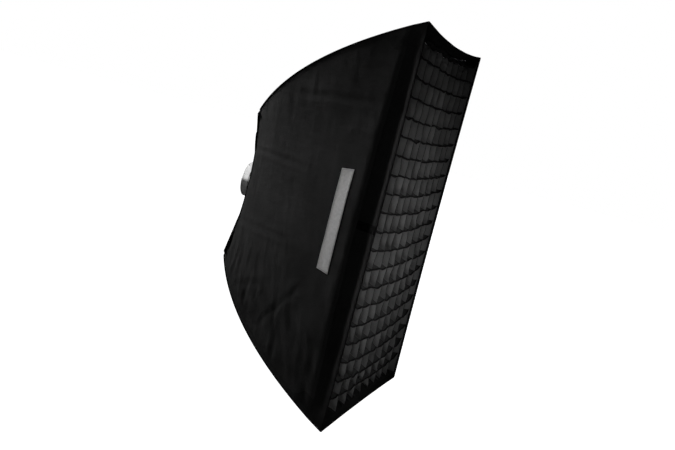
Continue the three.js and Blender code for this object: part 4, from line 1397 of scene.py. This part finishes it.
def add_bolt():
    """The draw bolt, the barrel that the lever swings on, the cam's washer and the adjuster nut."""
    washer = ring(BOLT_RADIUS + 0.4, 7, *spans("cam_washer")[2], 48, 0.3)
    add_hard("cam_seat_washer", moved(washer, LINE_UP), "nylon", ["cam_washer"], "adapter")
    low, high = spans("draw_bolt")[2]
    thread = screw_thread(BOLT_RADIUS, 0.35, low + 0.8, 44)
    bolt = lathe([(0, low), (2.3, low), *thread, (BOLT_RADIUS, -4.5), (BOLT_RADIUS, high - 0.6),
                  (2.4, high), (0, high)], 40, 0.12)
    add_hard("bolt_threaded", moved(bolt, LINE_UP), "steel", ["draw_bolt"], "draw_bolt")
    radius, half = 4.0, np.ptp(spans("lever_pivot_barrel")[1]) / 2
    barrel = lathe([(0, -half), (radius - 0.6, -half), (radius, 0.6 - half), (radius, half - 0.6),
                    (radius - 0.6, half), (0, half)], 48, 0.2)
    slot = cuboid((5.4, 1.6, 1.0), (0, half, 0), 0)
    barrel = moved(boolean(barrel, slot), shift(BOLT_X, BOLT_Y, BARREL_Z))
    add_hard("barrel_pin", barrel, "steel", ["lever_pivot_barrel"], "draw_bolt")

    def knurl(angle, r, height):
        return np.where(r > 7, r * (1 - 0.03 * (1 + np.cos(36 * angle))), r)

    bore, neck, radius = BOLT_RADIUS + GAP, 6.6, 8.0
    low, high = spans("adjuster_nut")[2]
    nut = lathe([(bore, low), (neck, low), (radius, low + 1.1), (radius, high - 1.1), (neck, high),
                 (bore, high)], 288, 0.3, knurl)
    add_hard("nut_knurled", moved(nut, LINE_UP), "nut_steel", ["adjuster_nut"], "adjuster_nut")


def add_lever():
    """The cast lever: an eccentric cam on the barrel, and an arched handle with raised grips."""
    reach, root, length = math.hypot(BOLT_X, BARREL_Z), math.atan2(BARREL_Z, BOLT_X), 52
    outer, inner = reach + 2.5, reach - 3.5
    low, high = spans("clamp_lever")[1]
    on_barrel = shift(BOLT_X, BOLT_Y, BARREL_Z)
    angle = root + np.radians(np.linspace(0, length, 40))
    outline = np.vstack([polar(outer, angle, 0.0), polar(inner, angle[::-1], 0.0)])[:, [0, 2]]
    handle = bevelled(prism(outline, low, high), 1.3, 3)
    cam = ring(0, CAM_RADIUS, low - BOLT_Y, high - BOLT_Y, 64, 0.7)
    lever = boolean(handle, moved(cam, on_barrel @ shift(0, 0, -CAM_OFFSET)), "UNION")
    # Bored for the barrel, and slotted in the middle to clear the bolt.
    for radius, depth, sides in ((4.3, 10, 48), (11, 3.6, 64)):
        lever = boolean(lever, moved(ring(0, radius, -depth, depth, sides, 0), on_barrel))
    places = polar(outer + 0.2, root + np.radians(np.linspace(22, 46, 9)), BOLT_Y)
    grips = [cuboid((1.1, 8.4, 1.2), place, 0.3) for place in places]
    add_hard("lever_cast", merged(lever, *grips), "casting", ["clamp_lever"], "clamp_lever")


def ring_outline(radius=84.0, reach=132.0, half=15.0):
    """Angles and radii round the rod ring: a circle with an arm towards each rod."""
    arm, wide = math.atan2(half, reach), math.asin(half / radius)
    angles = set(np.round(np.radians(np.arange(0, 360, 3.0)), 6))
    middles = [math.atan2(sign_z * SHARE_Z, sign_x * SHARE_X) for sign_x, sign_z in CORNERS]

    def off(angle, middle):
        return abs((angle - middle + math.pi) % (2 * math.pi) - math.pi)

    for middle in middles:
        angles = {angle for angle in angles if off(angle, middle) >= wide + 0.03}
        steps = (-wide, -arm, -arm / 2, 0, arm / 2, arm, wide)
        angles |= {round((middle + step) % (2 * math.pi), 6) for step in steps}
    angles = np.array(sorted(angles))
    radii = np.full(len(angles), radius)
    for middle in middles:
        turn = off(angles, middle)
        along = np.minimum(reach / np.cos(turn), half / np.maximum(np.sin(turn), 1e-6))
        radii = np.where(turn < wide - 1e-4, np.maximum(radii, along), radii)
    return angles, radii


def add_ring():
    """The ring that carries the rods: a round plate with four arms and two raised rims."""
    angles, radii = ring_outline()
    bore = np.full(len(angles), NECK + 0.4)
    corners = ((radii, RING_LOW), (radii, RING_HIGH), (bore, RING_HIGH), (bore, RING_LOW))
    points = np.vstack([polar(radius, angles, y) for radius, y in corners])
    faces = grid_faces(4, len(angles), closed_rows=True, closed_columns=True)
    plate = bevelled(solid(points, faces), 1.1, 3, 28)
    plate = boolean(plate, moved(ring(0, 3.3, 40, 100, 32, 0), shift(0, KNOB_Y) @ TO_Z))
    low, high = RING_HIGH - 0.2, RING_HIGH + 0.9
    rims = [ring(inner, outer, low, high, 144, 0.4) for inner, outer in ((66.5, 68.5), (80.5, 82.6))]
    add_hard("ring_plate", merged(plate, *rims), "casting", ["rod_ring"], "softbox")


def add_sockets():
    """The four moulded rod sockets, each a barrel on a foot with a screwed flange."""
    slope = ROD_SLOPE[1] / ROD_SLOPE[0]
    base, bore, bore_end, outer, half = RING_HIGH + GAP, 5.8, -22.3, 9.0, 32
    start, middle_x, end = 71, 102, 133
    root_x, root_y = ROD_ROOT / MM
    low, middle_y, high = (root_y + (x - root_x) * slope for x in (start, middle_x, end))
    on_rod = shift(middle_x, middle_y) @ Matrix.Rotation(math.atan(slope) - math.pi / 2, 4, "Z")
    barrel = lathe([(0, -half), (outer, -half), (outer, 26), (outer + 0.6, 27), (outer + 0.6, 31),
                    (outer, half), (bore, half), (bore, bore_end), (0, bore_end)], 64, 0.8)
    foot = prism([(start, -base), (end, -base), (end, -high), (start, -low)], -8.2, 8.2)
    foot = boolean(bevelled(moved(foot, TO_Z), 0.9), moved(ring(0, bore, bore_end, 40, 40, 0), on_rod))
    flange = cuboid((40, 2.2, 28), (middle_x, base + 1.1, 0), 0.8)
    socket = merged(moved(barrel, on_rod), foot, flange)
    places = [(middle_x + x, base + 2.2, z) for z in (11.2, -11.2) for x in (-15, 15)]
    heads = [moved(screw_head(2.7, 2.0), shift(*place)) for place in places]
    for number, plane in enumerate(ROD_PLANES, 1):
        name, node = f"socket_{number}_moulded", f"rod_socket_{number}"
        add_hard(name, moved(socket, plane), "polymer", [node], "softbox")
    screws = merged(*(moved(head, plane) for plane in ROD_PLANES for head in heads))
    add_hard("socket_screws", screws, "steel", (), "softbox")


def add_knob():
    """The fluted thumb screw that locks the ring, and the shoe it presses on the collar."""
    low, high = spans("lock_knob")[2]
    shank, radius, head = 3.0, 10.5, high - 14

    def fluted(angle, r, height):
        flute = 0.055 * (1 + np.cos(12 * angle)) ** 2 / 2
        return np.where(r > 8.6, r * (1 - flute), r)

    thread = screw_thread(shank, 0.3, low + 0.6, 48)
    knob = lathe([(0, low), (2.6, low), *thread, (shank, head - 0.5), (shank, head), (9, head),
                  (radius, head + 3), (radius, high - 2), (9, high), (5.5, high), (5.0, high - 0.6),
                  (0, high - 0.6)], 192, 0.3, fluted)
    place = shift(0, KNOB_Y) @ TO_Z
    add_hard("knob_fluted", moved(knob, place), "polymer", ["lock_knob"], "lock_knob")
    shoe = ring(0, 2.8, *spans("brake_shoe")[2], 32, 0.3)
    add_hard("brake_pad", moved(shoe, place), "nylon", ["brake_shoe"], "softbox")


# ---------------------------------------------------------------- assembly


def add_floor():
    half, height = 40.0, -1.45
    corners = [(x * half, y * half, height) for x, y in ((-1, -1), (1, -1), (1, 1), (-1, 1))]
    mesh = mesh_of((corners, [[0, 1, 2, 3]], None, None), "floor")
    mesh.materials.append(floor_look("pale_floor", 0.86, 0.88))
    floor = put("floor", mesh)


add_camera()
add_lamps()
add_world()
add_floor()
add_rods()
add_walls()
add_ridges()
add_corner_caps()
add_rear_closures()
add_label()
add_lip_tab(LEFT)
add_lip_tab(RIGHT)
add_diffuser("front_diffuser_cloth", "front_diffuser", 26 * MM, 15.6 * MM, 4 * MM, "front_cloth", 81)
add_diffuser("inner_baffle_cloth", "inner_baffle", 12 * MM, 9 * MM, 10 * MM, "baffle_cloth", 85)
add_straps()
add_egg_crate()
add_crate_trim()
add_collar()
add_grip()
add_ring_seat()
add_band()
add_bolt()
add_lever()
add_ring()
add_sockets()
add_knob()
